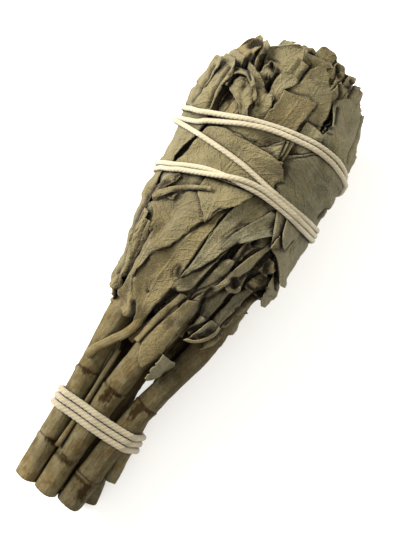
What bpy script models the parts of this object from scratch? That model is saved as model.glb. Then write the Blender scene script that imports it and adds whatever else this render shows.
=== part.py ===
"""Sage smudge stick: a torch of dried white sage stems and leaves, tied twice with cotton string.

The stick lies on its back along +X, cut stem ends near x = 0 and the leafy crown at the far end.
Places on it are given as along (mm from the stem ends), turn (degrees round the stick's axis, 0 on
top, positive towards -Y, 180 underneath) and lift (mm out from the skin).
"""

import bisect
import math
import random

import bmesh
import bpy
from mathutils import Vector
from mathutils.bvhtree import BVHTree

MM = 0.001

# Driving dimensions in millimetres.
STRING_DIAMETER = 1.6
GAP = 0.35  # left between pieces that touch on the real stick
AXIS_HEIGHT_AT_ENDS = 7.0  # height of the axis over the table at the cut stem ends
AXIS_RISE = 0.144  # how much the axis rises for each millimetre along
STEM_BUNDLE_ASIDE = 1.0  # the middle of the bundled stems, towards +Y from the axis
STEM_BUNDLE_UP = -0.3  # and up from it

# The leafy head without its outer leaves: along, half width, half height, shift towards -Y.
HEAD_STATIONS = (
    (54.0, 12.4, 9.0, 0.9),
    (57.0, 15.8, 12.4, 1.0),
    (62.0, 17.7, 15.0, 0.6),
    (72.0, 18.6, 17.0, 0.0),
    (82.0, 21.4, 19.4, 0.8),
    (92.0, 22.6, 20.8, 0.9),
    (104.0, 23.3, 21.4, 0.5),
    (116.0, 23.7, 21.6, -0.4),
    (125.0, 23.2, 21.0, -1.3),
    (131.0, 21.4, 19.2, -1.5),
    (135.0, 17.4, 15.4, -1.0),
    (137.5, 10.5, 9.4, -0.8),
)
HEAD_APEX = 138.0
HEAD_SIDES = 24

# Stems as radius at the cut end, radius inside the head, and points. A point is its place along, its
# side towards -Y and its height over the axis.
STEMS = {
    "stem_left": (3.15, 3.2, ((-1.8, -10.5, 2.9), (25, -10.5, 2.9), (50, -11.1, 3.6), (76, -11.2, 4.6))),
    "stem_middle": (
        3.35, 3.4, ((-2.4, -3.5, 3.6), (25, -2.1, 3.9), (50, 0.8, 6.6), (67, 3.9, 10.4), (80, 6.6, 11.4)),
    ),
    "stem_right": (3.75, 3.2, ((-2.0, 4.3, 3.0), (25, 7.2, 3.4), (50, 11.6, 3.6), (76, 13.2, 3.6))),
    "stem_back_left": (2.9, 2.8, ((4.0, -6.6, -4.7), (26, -6.2, -3.7), (50, -5.6, -4.6), (76, -6.5, -9.0))),
    "stem_back_middle": (
        2.6, 2.5, ((0.5, 9.2, -4.4), (12, 7.2, -5.2), (26, 3.9, -4.0), (42, 2.2, -4.6), (76, 2.2, -10.0)),
    ),
    "stem_back_right": (
        2.3, 2.2, ((10.1, 11.2, -1.0), (26, 10.3, -2.6), (42, 9.6, -4.4), (76, 10.0, -8.6)),
    ),
}
TWIG_RADIUS = 0.75
TWIG_POINTS = ((12.5, -7.0, 6.4), (25, -6.3, 5.4), (38, -6.1, 5.2), (46, -6.0, 5.3))
STEM_SIDES = 10
TWIG_SIDES = 6
STEM_JOINTS = {
    "stem_left": (12.5, 35.8),
    "stem_middle": (10.9, 35.4, 52.5),
    "stem_right": (8.4, 35.9, 57.0),
    "stem_back_left": (18.0, 44.0),
    "stem_back_middle": (15.0, 40.0),
    "stem_back_right": (21.0, 47.0),
}
JOINT_SWELL = 0.35  # how far a stem swells where leaves once grew
JOINT_LENGTH = 1.6
STEM_SQUARE = 0.03  # how far a stem's corners stand out, as a share of its radius
STEM_TAPER_LENGTH = 50.0
CUT_END_SHARE = 0.92  # a cut end's radius, as a share of the stem's

# Leaves on the upper side: base (along, turn), tip (along, turn), width, sideways bow, lift at the
# middle, lift at the tip. Later rows lie over earlier ones.
TOP_LEAVES = (
    ((108.5, 50), (136.9, 58), 17, 1.0, 0.7, 0.8),
    ((101.2, 62), (129.1, 84), 18, 0.0, 0.8, 0.6),
    ((106.1, 30), (139.2, 30), 15, -1.0, 0.8, 1.0),
    ((104.9, -4), (133.9, -1), 16, 0.0, 1.2, 0.8),
    ((106.1, -30), (127.6, -36), 10, 1.5, 1.2, 2.2),
    ((97.9, -84), (131.7, -80), 13, 0.0, 1.2, 2.0),
    ((99.2, -58), (139.6, -50), 10, -1.5, 1.3, 2.4),
    ((98.0, 86), (116.9, 14), 20, -2.0, 1.3, 1.4),
    ((99.4, -66), (108.8, 24), 17, 1.5, 1.6, 1.8),
    ((56.0, 52), (83.9, 68), 7, 0.8, 1.0, 1.2),
    ((58.3, 34), (83.8, 50), 6, -0.8, 0.6, 1.4),
    ((59.9, 70), (92.0, 84), 8, 0.0, 1.2, 1.4),
    ((66.4, 14), (95.1, 42), 6, 1.0, 0.8, 1.0),
    ((57.0, -56), (90.0, -84), 8, 1.0, 1.2, 1.4),
    ((56.9, -66), (83.9, -66), 7, 0.5, 1.0, 1.6),
    ((57.2, -40), (87.7, -56), 9, -1.0, 1.5, 1.2),
    ((52.1, -20), (94.8, 0), 11, 1.0, 1.2, 1.0),
    ((66.4, -4), (100.7, 38), 11, -1.5, 1.3, 1.2),
    ((60.2, -46), (99.4, 6), 19, 2.0, 1.9, 1.9),
    ((102.2, 62), (78.0, 82), 13, 1.5, 1.8, 3.6),
)
BLADE_ALONG = 5  # cells of a blade along its length
BLADE_ACROSS = 2
BASE_SHARE = 0.30  # a blade's width at its base, as a share of its widest
WIDEST_FROM = 0.45  # the share of its length where a blade reaches its full width
ROUND_FROM = 0.62  # and where its tip begins to round off
SUNK_UNTIL = 0.3  # the share of its length along which a blade comes out of the head
TIP_RISES_FROM = 0.6
BLADE_THICK = 0.8
BLADE_BED = -0.5  # how deep the middle of a pressed leaf lies in the head
ROOT_DEPTH = 1.6  # how far a blade's base is sunk in the head
EDGE_WAVE = 0.7
EDGE_LIFT = 0.6
PINCH_REACH = 3.5  # how near to a string it holds the leaves down
PINCH_SHARE = 0.75

# The underside's leaves follow a rule: rows of overlapping leaves round the lower half.
UNDER_ROWS = (
    # along of the base, length, width, lift, first turn, number, lean in degrees
    (105, 33, 18, 0.8, 98, 6, 10),
    (84, 32, 19, 1.2, 106, 6, -12),
    (57, 40, 12, 1.0, 92, 8, 6),
)
UNDER_SPREAD = 172.0  # degrees of turn that each row covers
UNDER_STEP = 0.45  # how much higher every other leaf of a row lies
UNDER_TIP_RISE = 0.3

# The crown's leaves stand in rings round the middle of the head.
CROWN_RINGS = (
    # distance from the middle, number, base along, tip along, width, first turn
    (4.4, 3, 130, 148.6, 8.0, 80),
    (9.8, 6, 129, 146.0, 9.5, 0),
    (15.2, 8, 125, 143.6, 11.5, 12),
    (20.6, 10, 118, 141.8, 13.0, 5),
)
CROWN_SLOPE = 0.19  # how much nearer the stems a tip is for each millimetre that it stands higher
CROWN_ROWS = (0.0, 0.42, 0.75, 1.0)  # shares of a crown leaf's length
CROWN_OVERLAP = 0.9  # how far one edge of a crown leaf stands out over its neighbour
CROWN_CUP = 0.9  # how far both edges of a crown leaf curl in
CROWN_TIP_NARROWS = 0.62
CROWN_CORNERS_BACK = 1.6  # how much shorter a crown leaf is at its edges
CROWN_OVAL_AT = 125.0  # the rings are as oval as the head is there
LEAF_SEED = 7

# Leaf stalks that run out of the head between the stems, as radius and points like the stems'.
STALKS = (
    (1.0, ((41.5, -12.6, 7.6), (46, -10.2, 8.0), (51, -6.6, 8.6), (58, -4.6, 9.0), (66, -4.0, 9.0))),
    (1.2, ((50.5, -5.2, 4.6), (56, -3.6, 6.2), (66, -2.0, 9.0))),
    (0.9, ((46.5, 6.1, 4.6), (54, 6.2, 4.6), (64, 7.0, 5.0))),
)

# The head string's turns, as (turn, along) of points that it passes, turns counting up.
HEAD_STRING_ROUTE = (
    (-200, 118.3), (-150, 117.0), (-90, 114.4), (-60, 114.8), (-20, 117.2), (2, 120.1), (32, 121.9),
    (52, 120.8), (75, 117.8), (90, 116.9), (180, 116.0), (270, 112.2), (300, 112.6), (340, 115.1),
    (362, 118.1), (392, 119.9), (412, 118.8), (435, 115.8), (450, 114.9), (540, 113.6), (630, 110.0),
    (660, 109.6), (698, 108.2), (720, 107.1), (741, 105.8), (775, 104.8), (810, 104.6), (900, 100.6),
    (990, 97.8), (1020, 98.8), (1057, 101.6), (1080, 104.2), (1101, 103.8), (1135, 102.9),
    (1170, 102.6), (1260, 98.5), (1350, 95.7), (1380, 96.7), (1417, 99.5), (1440, 102.2), (1461, 101.8),
    (1495, 100.9), (1530, 100.6), (1554, 99.5),
)
HEAD_STRING_STEP = 10.0  # degrees of turn between the string's points
GROOVE_GAP = 0.2  # room round the head string where a leaf would touch it
GROOVE_SIDES = 8
GROOVE_STRETCH = 6  # stretches of the string's line in each piece of the groove
STEM_STRING_ALONG = 20.6
STEM_STRING_PITCH = 2.0
STEM_STRING_TURNS = 3
STEM_STRING_STEP = 15.0
STEM_STRING_SLANT = 0.9  # how far the turns lean towards the stem ends at the side nearest -Y
STEM_STRING_START = 150.0  # the turn where the stem string begins to be counted
STEM_STRING_LEAD = 30.0  # degrees that it runs before that
STEM_STRING_OVER = 5.0  # and after its last full turn
STEM_STRING_PARTS = 36
UNDER_STRING = (-0.6, 0.0, 0.6)  # where the string's bed is measured, in string diameters across it
LEAST_REACH = 3.0
FAR_OUT = 60.0
TIGHTENING_PASSES = 400
CLEARING_PASSES = 60
OFF_TABLE = 0.15
KNOT_SCALE = 0.9  # millimetres for each unit of the knot's curve
KNOT_POINTS = 24
KNOT_RUN = 2.6  # how far the knot's curve moves on along the string, in its own units
KNOT_MIDDLE = (3.2, 3.0)
KNOT_LIFT_STEP = 0.1
KNOT_LIFT_TRIES = 30
TAIL_LENGTH = 4.0

FLAT_WITHIN = 1.0  # degrees between faces of the head that are joined into one
SHARP_FROM = 40.0  # degrees between faces that are shaded with a sharp edge

# A block that holds everything below the table, as its lowest and highest corner.
TABLE_LOW = (-20, -60, -30)
TABLE_HIGH = (180, 60, 0)

LEAF_GREEN = (0.24, 0.21, 0.14)
STEM_BROWN = (0.20, 0.15, 0.08)
COTTON = (0.66, 0.58, 0.42)


def clear_scene():
    for obj in list(bpy.data.objects):
        bpy.data.objects.remove(obj, do_unlink=True)


def material(name, colour, roughness):
    made = bpy.data.materials.new(name)
    made.use_nodes = True
    shader = made.node_tree.nodes["Principled BSDF"]
    shader.inputs["Base Color"].default_value = (*colour, 1)
    shader.inputs["Roughness"].default_value = roughness
    shader.inputs["Metallic"].default_value = 0.0
    return made


def mesh_object(name, points_mm, faces, finish=None, collection=None):
    """A new object whose points are in millimetres in the stick's frame."""
    mesh = bpy.data.meshes.new(name)
    mesh.from_pydata([Vector(p) * MM for p in points_mm], [], faces)
    mesh.update()
    obj = bpy.data.objects.new(name, mesh)
    (collection or bpy.context.scene.collection).objects.link(obj)
    if finish:
        mesh.materials.append(finish)
    return obj


def smooth_between(stations, along):
    """Values of the stations at one place along, on a smooth curve through them."""
    places = [row[0] for row in stations]
    if along <= places[0]:
        return stations[0][1:]
    if along >= places[-1]:
        return stations[-1][1:]
    i = bisect.bisect_right(places, along) - 1
    before, first = stations[max(i - 1, 0)], stations[i]
    last, after = stations[i + 1], stations[min(i + 2, len(stations) - 1)]
    span = last[0] - first[0]
    t = (along - first[0]) / span
    values = []
    for k in range(1, len(first)):
        slope_first = (last[k] - before[k]) / max(last[0] - before[0], 1e-6) * span
        slope_last = (after[k] - first[k]) / max(after[0] - first[0], 1e-6) * span
        values.append(
            (2 * t**3 - 3 * t**2 + 1) * first[k]
            + (t**3 - 2 * t**2 + t) * slope_first
            + (3 * t**2 - 2 * t**3) * last[k]
            + (t**3 - t**2) * slope_last
        )
    return values


def axis_height(along):
    return AXIS_HEIGHT_AT_ENDS + AXIS_RISE * along


def on_head(along, turn, lift):
    """The point at that place, in millimetres, lift out from the head's own skin."""
    wide, high, shift = smooth_between(HEAD_STATIONS, along)
    a = math.radians(turn)
    return Vector((
        along,
        -shift - (wide + lift) * math.sin(a),
        axis_height(along) + (high + lift) * math.cos(a),
    ))


def head_body():
    """The packed middle of the head, which every leaf grows out of."""
    points, faces = [], []
    for along, *_ in HEAD_STATIONS:
        for k in range(HEAD_SIDES):
            points.append(on_head(along, 360 * k / HEAD_SIDES, 0))
    rings = len(HEAD_STATIONS)
    for ring in range(rings - 1):
        for k in range(HEAD_SIDES):
            a, b = ring * HEAD_SIDES + k, ring * HEAD_SIDES + (k + 1) % HEAD_SIDES
            faces.append((a, b, b + HEAD_SIDES, a + HEAD_SIDES))
    first, last = HEAD_STATIONS[0], HEAD_STATIONS[-1]
    points.append(Vector((first[0], -first[3], axis_height(first[0]))))
    points.append(Vector((HEAD_APEX, -last[3], axis_height(HEAD_APEX))))
    bottom, top = len(points) - 2, len(points) - 1
    for k in range(HEAD_SIDES):
        after = (k + 1) % HEAD_SIDES
        faces.append((bottom, after, k))
        faces.append((top, (rings - 1) * HEAD_SIDES + k, (rings - 1) * HEAD_SIDES + after))
    return points, faces


def leaf_half_width(share):
    """A sage leaf's half width, as a share of its widest, from base 0 to tip 1."""
    narrow_base = BASE_SHARE + (1 - BASE_SHARE) * min(share / WIDEST_FROM, 1.0) ** 0.8
    round_tip = math.sqrt(max(1 - max((share - ROUND_FROM) / 0.44, 0.0) ** 2, 0.08))
    return narrow_base * round_tip


def blade(rows, name, collection):
    """A leaf blade as one closed thin solid, from rows of pairs of upper and lower points, base first."""
    across = len(rows[0])
    upper = [p for row in rows for p, _ in row]
    lower = [p for row in rows for _, p in row]
    points = upper + lower
    below = len(upper)
    faces = []
    for i in range(len(rows) - 1):
        for j in range(across - 1):
            a, b = i * across + j, i * across + j + 1
            c, d = b + across, a + across
            for one in ((a, b, c), (a, c, d)):
                faces.append(one)
                faces.append(tuple(below + k for k in reversed(one)))
    last = (len(rows) - 1) * across
    rim = list(range(across - 1, -1, -1))
    rim += [i * across for i in range(1, len(rows))]
    rim += [last + j for j in range(1, across)]
    rim += [i * across + across - 1 for i in range(len(rows) - 2, 0, -1)]
    for a, b in zip(rim, rim[1:] + rim[:1]):
        faces.append((a, b, b + below))
        faces.append((a, b + below, a + below))
    obj = mesh_object(name, points, faces, collection=collection)
    face_outwards(obj)
    return obj


def face_outwards(obj):
    shell = bmesh.new()
    shell.from_mesh(obj.data)
    bmesh.ops.recalc_face_normals(shell, faces=shell.faces)
    if shell.calc_volume(signed=True) < 0:
        bmesh.ops.reverse_faces(shell, faces=shell.faces)
    shell.to_mesh(obj.data)
    shell.free()


def held_down(along, turn):
    """What share of a leaf's lift is left near the head string, which holds the leaves down."""
    near = 99.0
    for full_turns in range(-1, 6):
        at = turn + 360 * full_turns
        if HEAD_STRING_ROUTE[0][0] <= at <= HEAD_STRING_ROUTE[-1][0]:
            near = min(near, abs(along - smooth_between(HEAD_STRING_ROUTE, at)[0]))
    return 1 - PINCH_SHARE * math.exp(-((near / PINCH_REACH) ** 2))


def wrapped_leaf(name, base, tip, width, bow, lift, tip_lift, draw, collection):
    """A leaf pressed onto the head: its base and middle are sunk in it, its edges and tip stand off it."""
    middle = (base[0] + tip[0]) / 2
    radius = smooth_between(HEAD_STATIONS, middle)[0]
    run = tip[0] - base[0]
    round_run = math.radians(tip[1] - base[1]) * radius
    length = math.hypot(run, round_run)
    forward = (run / length, round_run / length)
    rows = []
    for i in range(BLADE_ALONG + 1):
        share = i / BLADE_ALONG
        sunk = (1 - min(share / SUNK_UNTIL, 1.0)) ** 2 * (lift + ROOT_DEPTH + BLADE_THICK)
        rise = lift - sunk + (tip_lift - lift) * max(share - TIP_RISES_FROM, 0) / (1 - TIP_RISES_FROM)
        row = []
        for j in range(BLADE_ACROSS + 1):
            side = 2 * j / BLADE_ACROSS - 1
            aside = side * leaf_half_width(share) * width / 2 + bow * math.sin(math.pi * share)
            along = base[0] + run * share - forward[1] * aside
            arc = round_run * share + forward[0] * aside
            turn = base[1] + math.degrees(arc / radius)
            waved = rise + abs(side) * (EDGE_LIFT * share + EDGE_WAVE * draw.uniform(-1, 1))
            waved *= held_down(along, turn) if waved > 0 else 1
            under = waved - BLADE_THICK
            if abs(side) < 0.9 and share < 0.95:
                under = min(under, BLADE_BED)
            row.append((on_head(along, turn, waved), on_head(along, turn, under)))
        rows.append(row)
    return blade(rows, name, collection)


def crown_leaf(name, distance, turn, base, tip, width, draw, collection):
    """A leaf that stands out of the head's end, curved round the middle and leaning in at its tip."""
    lean = draw.uniform(0.2, 3.4)
    spread = draw.uniform(0.8, 1.2)
    rows = []
    for share in CROWN_ROWS:
        out = distance - lean * share**2
        row = []
        for j in range(BLADE_ACROSS + 1):
            side = 2 * j / BLADE_ACROSS - 1
            narrowed = CROWN_TIP_NARROWS * max(share - WIDEST_FROM, 0) / (1 - WIDEST_FROM)
            aside = side * width / 2 * (1 - narrowed)
            angle = turn + math.degrees(aside / max(distance, 5.0)) * spread
            along = base + (tip - base) * share - CROWN_CORNERS_BACK * abs(side) * share
            along += draw.uniform(-0.8, 0.8) * share
            along -= CROWN_SLOPE * out * math.cos(math.radians(turn)) * share
            waved = out + EDGE_WAVE * draw.uniform(-1, 1) - CROWN_CUP * side * side + CROWN_OVERLAP * side
            waved = max(waved, BLADE_THICK + 0.4)
            row.append((crown_point(along, angle, waved), crown_point(along, angle, waved - BLADE_THICK)))
        rows.append(row)
    return blade(rows, name, collection)


def crown_point(along, turn, out):
    """A point out from the head's axis, on the head's own oval shape."""
    wide, high, shift = smooth_between(HEAD_STATIONS, CROWN_OVAL_AT)
    a = math.radians(turn)
    return Vector((
        along,
        -shift - out * math.sin(a),
        axis_height(along) + out * high / wide * math.cos(a),
    ))


def tube(points, radii, sides, name, finish=None, collection=None, square=0.0):
    """A closed round rod through the points. square pushes its four corners out a little."""
    verts, faces = [], []
    right = (points[1] - points[0]).cross(Vector((0.1, 0, 1)))
    for i, p in enumerate(points):
        ahead = (points[min(i + 1, len(points) - 1)] - points[max(i - 1, 0)]).normalized()
        right = (right - ahead * right.dot(ahead)).normalized()
        up = right.cross(ahead)
        for k in range(sides):
            a = 2 * math.pi * k / sides
            r = radii[i] * (1 + square * math.cos(4 * a))
            verts.append(p + right * (r * math.cos(a)) + up * (r * math.sin(a)))
    for i in range(len(points) - 1):
        for k in range(sides):
            a, b = i * sides + k, i * sides + (k + 1) % sides
            faces.append((a, b, b + sides, a + sides))
    verts += [points[0], points[-1]]
    for k in range(sides):
        after = (k + 1) % sides
        faces.append((len(verts) - 2, after, k))
        end = (len(points) - 1) * sides
        faces.append((len(verts) - 1, end + k, end + after))
    obj = mesh_object(name, verts, faces, finish, collection)
    face_outwards(obj)
    return obj


def stem_path(name, end_radius, inner_radius, points, extra=0.0):
    """Points and radii down a stem. extra makes it fatter, for the hole that it stands in."""
    first, last = points[0][0], points[-1][0]
    joints = STEM_JOINTS.get(name, ())
    places = {first, first + 0.5, last}
    places.update(first + (last - first) * k / 5 for k in range(1, 5))
    for joint in joints:
        places.update((joint - JOINT_LENGTH, joint, joint + JOINT_LENGTH * 0.6))
    places = sorted(p for p in places if first <= p <= last)
    places = [p for i, p in enumerate(places) if i == 0 or p - places[i - 1] > 0.4]
    line, radii = [], []
    for along in places:
        side, up = smooth_between(points, along)
        line.append(Vector((along, -side, axis_height(along) + up)))
        swell = sum(JOINT_SWELL * max(0, 1 - abs(along - j) / JOINT_LENGTH) for j in joints)
        rounded = CUT_END_SHARE if along == first else 1.0
        radius = end_radius + (inner_radius - end_radius) * min((along - first) / STEM_TAPER_LENGTH, 1)
        radii.append(radius * rounded + swell + extra)
    return line, radii


def build_stems(finish):
    stems = []
    for name, (end_radius, inner_radius, points) in STEMS.items():
        line, radii = stem_path(name, end_radius, inner_radius, points)
        stems.append(tube(line, radii, STEM_SIDES, name, finish, square=STEM_SQUARE))
    line, radii = stem_path("side_twig", TWIG_RADIUS, TWIG_RADIUS, TWIG_POINTS)
    stems.append(tube(line, radii, TWIG_SIDES, "side_twig", finish))
    return stems


def stem_holes(collection):
    """Fatter copies of the stems, which leave each stem a plain hole in the head."""
    for name, (end_radius, inner_radius, points) in STEMS.items():
        further = points[-1]
        longer = points[:-1] + ((further[0] + 1.0, further[1], further[2]),)
        line, radii = stem_path(name, end_radius, inner_radius, longer, extra=GAP)
        tube(line, radii, STEM_SIDES, name + "_hole", collection=collection, square=STEM_SQUARE)


def stalks(collection):
    for k, (radius, points) in enumerate(STALKS):
        line = [Vector((along, -side, axis_height(along) + up)) for along, side, up in points]
        tube(line, [radius] * len(line), 6, f"stalk_{k}", collection=collection)


def boolean(obj, operation, collection):
    """One Boolean of obj with all objects of a collection, which are then removed."""
    step = obj.modifiers.new(operation.lower(), "BOOLEAN")
    step.operation = operation
    step.operand_type = "COLLECTION"
    step.collection = collection
    step.solver = "MANIFOLD"
    graph = bpy.context.evaluated_depsgraph_get()
    made = bpy.data.meshes.new_from_object(obj.evaluated_get(graph))
    obj.modifiers.clear()
    obj.data = made
    for other in list(collection.objects):
        bpy.data.objects.remove(other, do_unlink=True)
    bpy.data.collections.remove(collection)


def merge_flat_faces(obj, degrees):
    """Joins the sliver faces that lie in one plane, then cuts the result into triangles again."""
    shell = bmesh.new()
    shell.from_mesh(obj.data)
    bmesh.ops.dissolve_limit(shell, angle_limit=math.radians(degrees), verts=shell.verts, edges=shell.edges)
    bmesh.ops.triangulate(shell, faces=shell.faces)
    shell.to_mesh(obj.data)
    shell.free()


def helper_collection(name):
    made = bpy.data.collections.new(name)
    bpy.context.scene.collection.children.link(made)
    return made


def table_block(collection):
    """Everything below the table, to flatten what rests on it."""
    corners = [(x, y, z) for x in (TABLE_LOW[0], TABLE_HIGH[0]) for y in (TABLE_LOW[1], TABLE_HIGH[1])
               for z in (TABLE_LOW[2], TABLE_HIGH[2])]
    faces = [(0, 1, 3, 2), (4, 6, 7, 5), (0, 4, 5, 1), (2, 3, 7, 6), (0, 2, 6, 4), (1, 5, 7, 3)]
    block = mesh_object("table_block", corners, faces, collection=collection)
    face_outwards(block)


def drop_scraps(obj):
    """Keeps the largest body of a mesh and removes loose scraps that a cut left."""
    shell = bmesh.new()
    shell.from_mesh(obj.data)
    seen, groups = set(), []
    for start in shell.verts:
        if start in seen:
            continue
        group, todo = [], [start]
        seen.add(start)
        while todo:
            v = todo.pop()
            group.append(v)
            for edge in v.link_edges:
                other = edge.other_vert(v)
                if other not in seen:
                    seen.add(other)
                    todo.append(other)
        groups.append(group)
    groups.sort(key=len, reverse=True)
    for group in groups[1:]:
        bmesh.ops.delete(shell, geom=group, context="VERTS")
    shell.to_mesh(obj.data)
    shell.free()


def build_head(finish):
    """The head: its packed middle with every leaf fused to it, holes for the stems and a flat underside."""
    points, faces = head_body()
    head = mesh_object("leaf_head", points, faces, finish)
    face_outwards(head)
    leaves = helper_collection("leaves")
    draw = random.Random(LEAF_SEED)
    for k, (base, tip, width, bow, lift, tip_lift) in enumerate(TOP_LEAVES):
        wrapped_leaf(f"top_leaf_{k}", base, tip, width, bow, lift, tip_lift, draw, leaves)
    for row, (base, length, width, lift, first, number, lean) in enumerate(UNDER_ROWS):
        for k in range(number):
            turn = first + UNDER_SPREAD * k / (number - 1) + draw.uniform(-4, 4)
            start = base + draw.uniform(-2, 2)
            end = start + length * draw.uniform(0.9, 1.05)
            high = lift + UNDER_STEP * (k % 2)
            wrapped_leaf(f"under_leaf_{row}_{k}", (start, turn), (end, turn + lean), width,
                         draw.uniform(-1, 1), high, high + UNDER_TIP_RISE, draw, leaves)
    for ring, (distance, number, base, tip, width, first) in enumerate(CROWN_RINGS):
        for k in range(number):
            turn = first + 360 * k / number + draw.uniform(-9, 9)
            crown_leaf(f"crown_leaf_{ring}_{k}", distance + draw.uniform(-0.8, 0.8), turn, base,
                       tip + draw.uniform(-2.5, 1.5), width, draw, leaves)
    stalks(leaves)
    boolean(head, "UNION", leaves)
    cutters = helper_collection("cutters")
    stem_holes(cutters)
    table_block(cutters)
    boolean(head, "DIFFERENCE", cutters)
    drop_scraps(head)
    return head


def tree_of(objects):
    """One search tree over several objects' faces, in millimetres."""
    points, faces = [], []
    for obj in objects:
        start = len(points)
        points += [v.co / MM for v in obj.data.vertices]
        faces += [tuple(start + i for i in f.vertices) for f in obj.data.polygons]
    return BVHTree.FromPolygons(points, faces)


def smooth_route(route, step):
    """(turn, along) pairs every step degrees on a smooth curve through the route's own points."""
    first, last = route[0][0], route[-1][0]
    count = int((last - first) // step)
    return [(t, smooth_between(route, t)[0]) for t in (first + step * k for k in range(count + 1))]


def reach_at(tree, centre, along, turn):
    """How far the outermost face is from the centre line at that place, under the string's whole width."""
    a = math.radians(turn)
    outward = Vector((0, -math.sin(a), math.cos(a)))
    best = LEAST_REACH
    for shift in UNDER_STRING:
        middle = centre(along + shift * STRING_DIAMETER)
        start = middle + outward * FAR_OUT
        hit = tree.ray_cast(start, -outward, FAR_OUT)[0]
        if hit is not None:
            best = max(best, (hit - middle).length)
    return best


def pulled_tight(reaches, step):
    """The reach of a string pulled tight over a surface: it bridges each hollow in a straight line."""
    tight = list(reaches)
    chord = 2 * math.cos(math.radians(step))
    for _ in range(TIGHTENING_PASSES):
        for i in range(1, len(tight) - 1):
            bridge = chord * tight[i - 1] * tight[i + 1] / (tight[i - 1] + tight[i + 1])
            tight[i] = max(reaches[i], bridge)
    return tight


def keep_clear(line, centre, tree):
    """Pushes the line out wherever a stretch between two of its points comes too near to a face."""
    clear = STRING_DIAMETER / 2 + GAP * 0.8
    for _ in range(CLEARING_PASSES):
        for i in range(len(line) - 1):
            for share in (0.0, 0.25, 0.5, 0.75, 1.0):
                p = line[i].lerp(line[i + 1], share)
                near, normal, _, distance = tree.find_nearest(p)
                short = clear + distance if (p - near).dot(normal) < 0 else clear - distance
                if short > 0.005:
                    outward = p - centre(p.x)
                    outward.x = 0
                    outward.normalize()
                    line[i] += outward * short * (1 - share)
                    line[i + 1] += outward * short * share


def string_points(route, centre, tree, step):
    """The middle line of a string wound along a route over what the tree holds, kept above the table."""
    away = STRING_DIAMETER / 2 + GAP
    places = smooth_route(route, step)
    reaches = pulled_tight([reach_at(tree, centre, along, turn) for turn, along in places], step)
    line = []
    for (turn, along), reach in zip(places, reaches):
        a = math.radians(turn)
        middle = centre(along)
        reach += away
        line.append(Vector((along, middle.y - reach * math.sin(a), middle.z + reach * math.cos(a))))
    for point in line:
        point.z = max(point.z, STRING_DIAMETER / 2 + OFF_TABLE)
    return line


def knot_points(start, ahead, outward, sideways):
    """An overhand knot that begins at start, then a short tail. ahead is the string's way there."""
    line = []
    for k in range(KNOT_POINTS + 1):
        t = math.pi * (1 + 2 * k / KNOT_POINTS)
        x = math.sin(t) + 2 * math.sin(2 * t) + KNOT_RUN * (k / KNOT_POINTS - 0.5) + KNOT_MIDDLE[0]
        y = math.cos(t) - 2 * math.cos(2 * t) + KNOT_MIDDLE[1]
        z = 1 - math.sin(3 * t)
        line.append(start + (ahead * x + sideways * y + outward * z) * KNOT_SCALE)
    end = line[-1]
    line.append(end + ahead * TAIL_LENGTH * 0.5 + outward * 0.1)
    line.append(end + ahead * TAIL_LENGTH)
    return line


def with_knot(line, centre_point, towards, tree):
    """The string's line with a knot and a tail. towards says to which end of the stick the knot leans."""
    ahead = (line[-1] - line[-2]).normalized()
    outward = line[-1] - centre_point
    outward = (outward - ahead * outward.dot(ahead)).normalized()
    sideways = ahead.cross(outward)
    if sideways.x * towards < 0:
        sideways = -sideways
    clear = STRING_DIAMETER / 2 + GAP
    for step in range(KNOT_LIFT_TRIES):
        lift = KNOT_LIFT_STEP * (1 + step)
        knot = knot_points(line[-1] + outward * lift, ahead, outward, sideways)
        if all((tree.find_nearest(p)[0] - p).length > clear for p in knot):
            break
    print("the knot is lifted by", round(lift, 1))
    return line[:-1] + knot


def string_object(name, line, finish):
    """A round string along the line, as a curve with a bevel and closed ends."""
    data = bpy.data.curves.new(name, "CURVE")
    data.dimensions = "3D"
    data.bevel_depth = STRING_DIAMETER / 2 * MM
    data.bevel_resolution = 1
    data.use_fill_caps = True
    spline = data.splines.new("POLY")
    spline.points.add(len(line) - 1)
    for point, place in zip(spline.points, line):
        point.co = (*(place * MM), 1)
    obj = bpy.data.objects.new(name, data)
    bpy.context.scene.collection.objects.link(obj)
    data.materials.append(finish)
    return obj


def clear_way(head, line):
    """Grooves in the head along the string, where a leaf's edge or the table presses against it."""
    grooves = helper_collection("grooves")
    radius = (STRING_DIAMETER / 2 + GROOVE_GAP) / math.cos(math.pi / GROOVE_SIDES)
    for first in range(0, len(line) - 1, GROOVE_STRETCH):
        piece = line[first:first + GROOVE_STRETCH + 1]
        tube(piece, [radius] * len(piece), GROOVE_SIDES, f"groove_{first}", collection=grooves)
    boolean(head, "DIFFERENCE", grooves)
    drop_scraps(head)
    merge_flat_faces(head, FLAT_WITHIN)


def head_centre(along):
    return Vector((along, -smooth_between(HEAD_STATIONS, along)[2], axis_height(along)))


def stem_centre(along):
    return Vector((along, STEM_BUNDLE_ASIDE, axis_height(along) + STEM_BUNDLE_UP))


def build_strings(head, stems, finish):
    tree = tree_of([head])
    line = string_points(HEAD_STRING_ROUTE, head_centre, tree, HEAD_STRING_STEP)
    line = with_knot(line, head_centre(line[-1].x), -1, tree)
    clear_way(head, line)
    string_object("head_string", line, finish)

    first_turn = STEM_STRING_START - STEM_STRING_LEAD
    round_all = 360 * STEM_STRING_TURNS + STEM_STRING_LEAD + STEM_STRING_OVER
    route = []
    for k in range(STEM_STRING_PARTS + 1):
        turn = first_turn + round_all * k / STEM_STRING_PARTS
        wound = STEM_STRING_PITCH * (turn - STEM_STRING_START) / 360
        route.append((turn, STEM_STRING_ALONG + wound - STEM_STRING_SLANT * math.sin(math.radians(turn))))
    tree = tree_of(stems)
    line = string_points(route, stem_centre, tree, STEM_STRING_STEP)
    keep_clear(line, stem_centre, tree)
    string_object("stem_string", with_knot(line, stem_centre(line[-1].x), 1, tree), finish)


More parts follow.
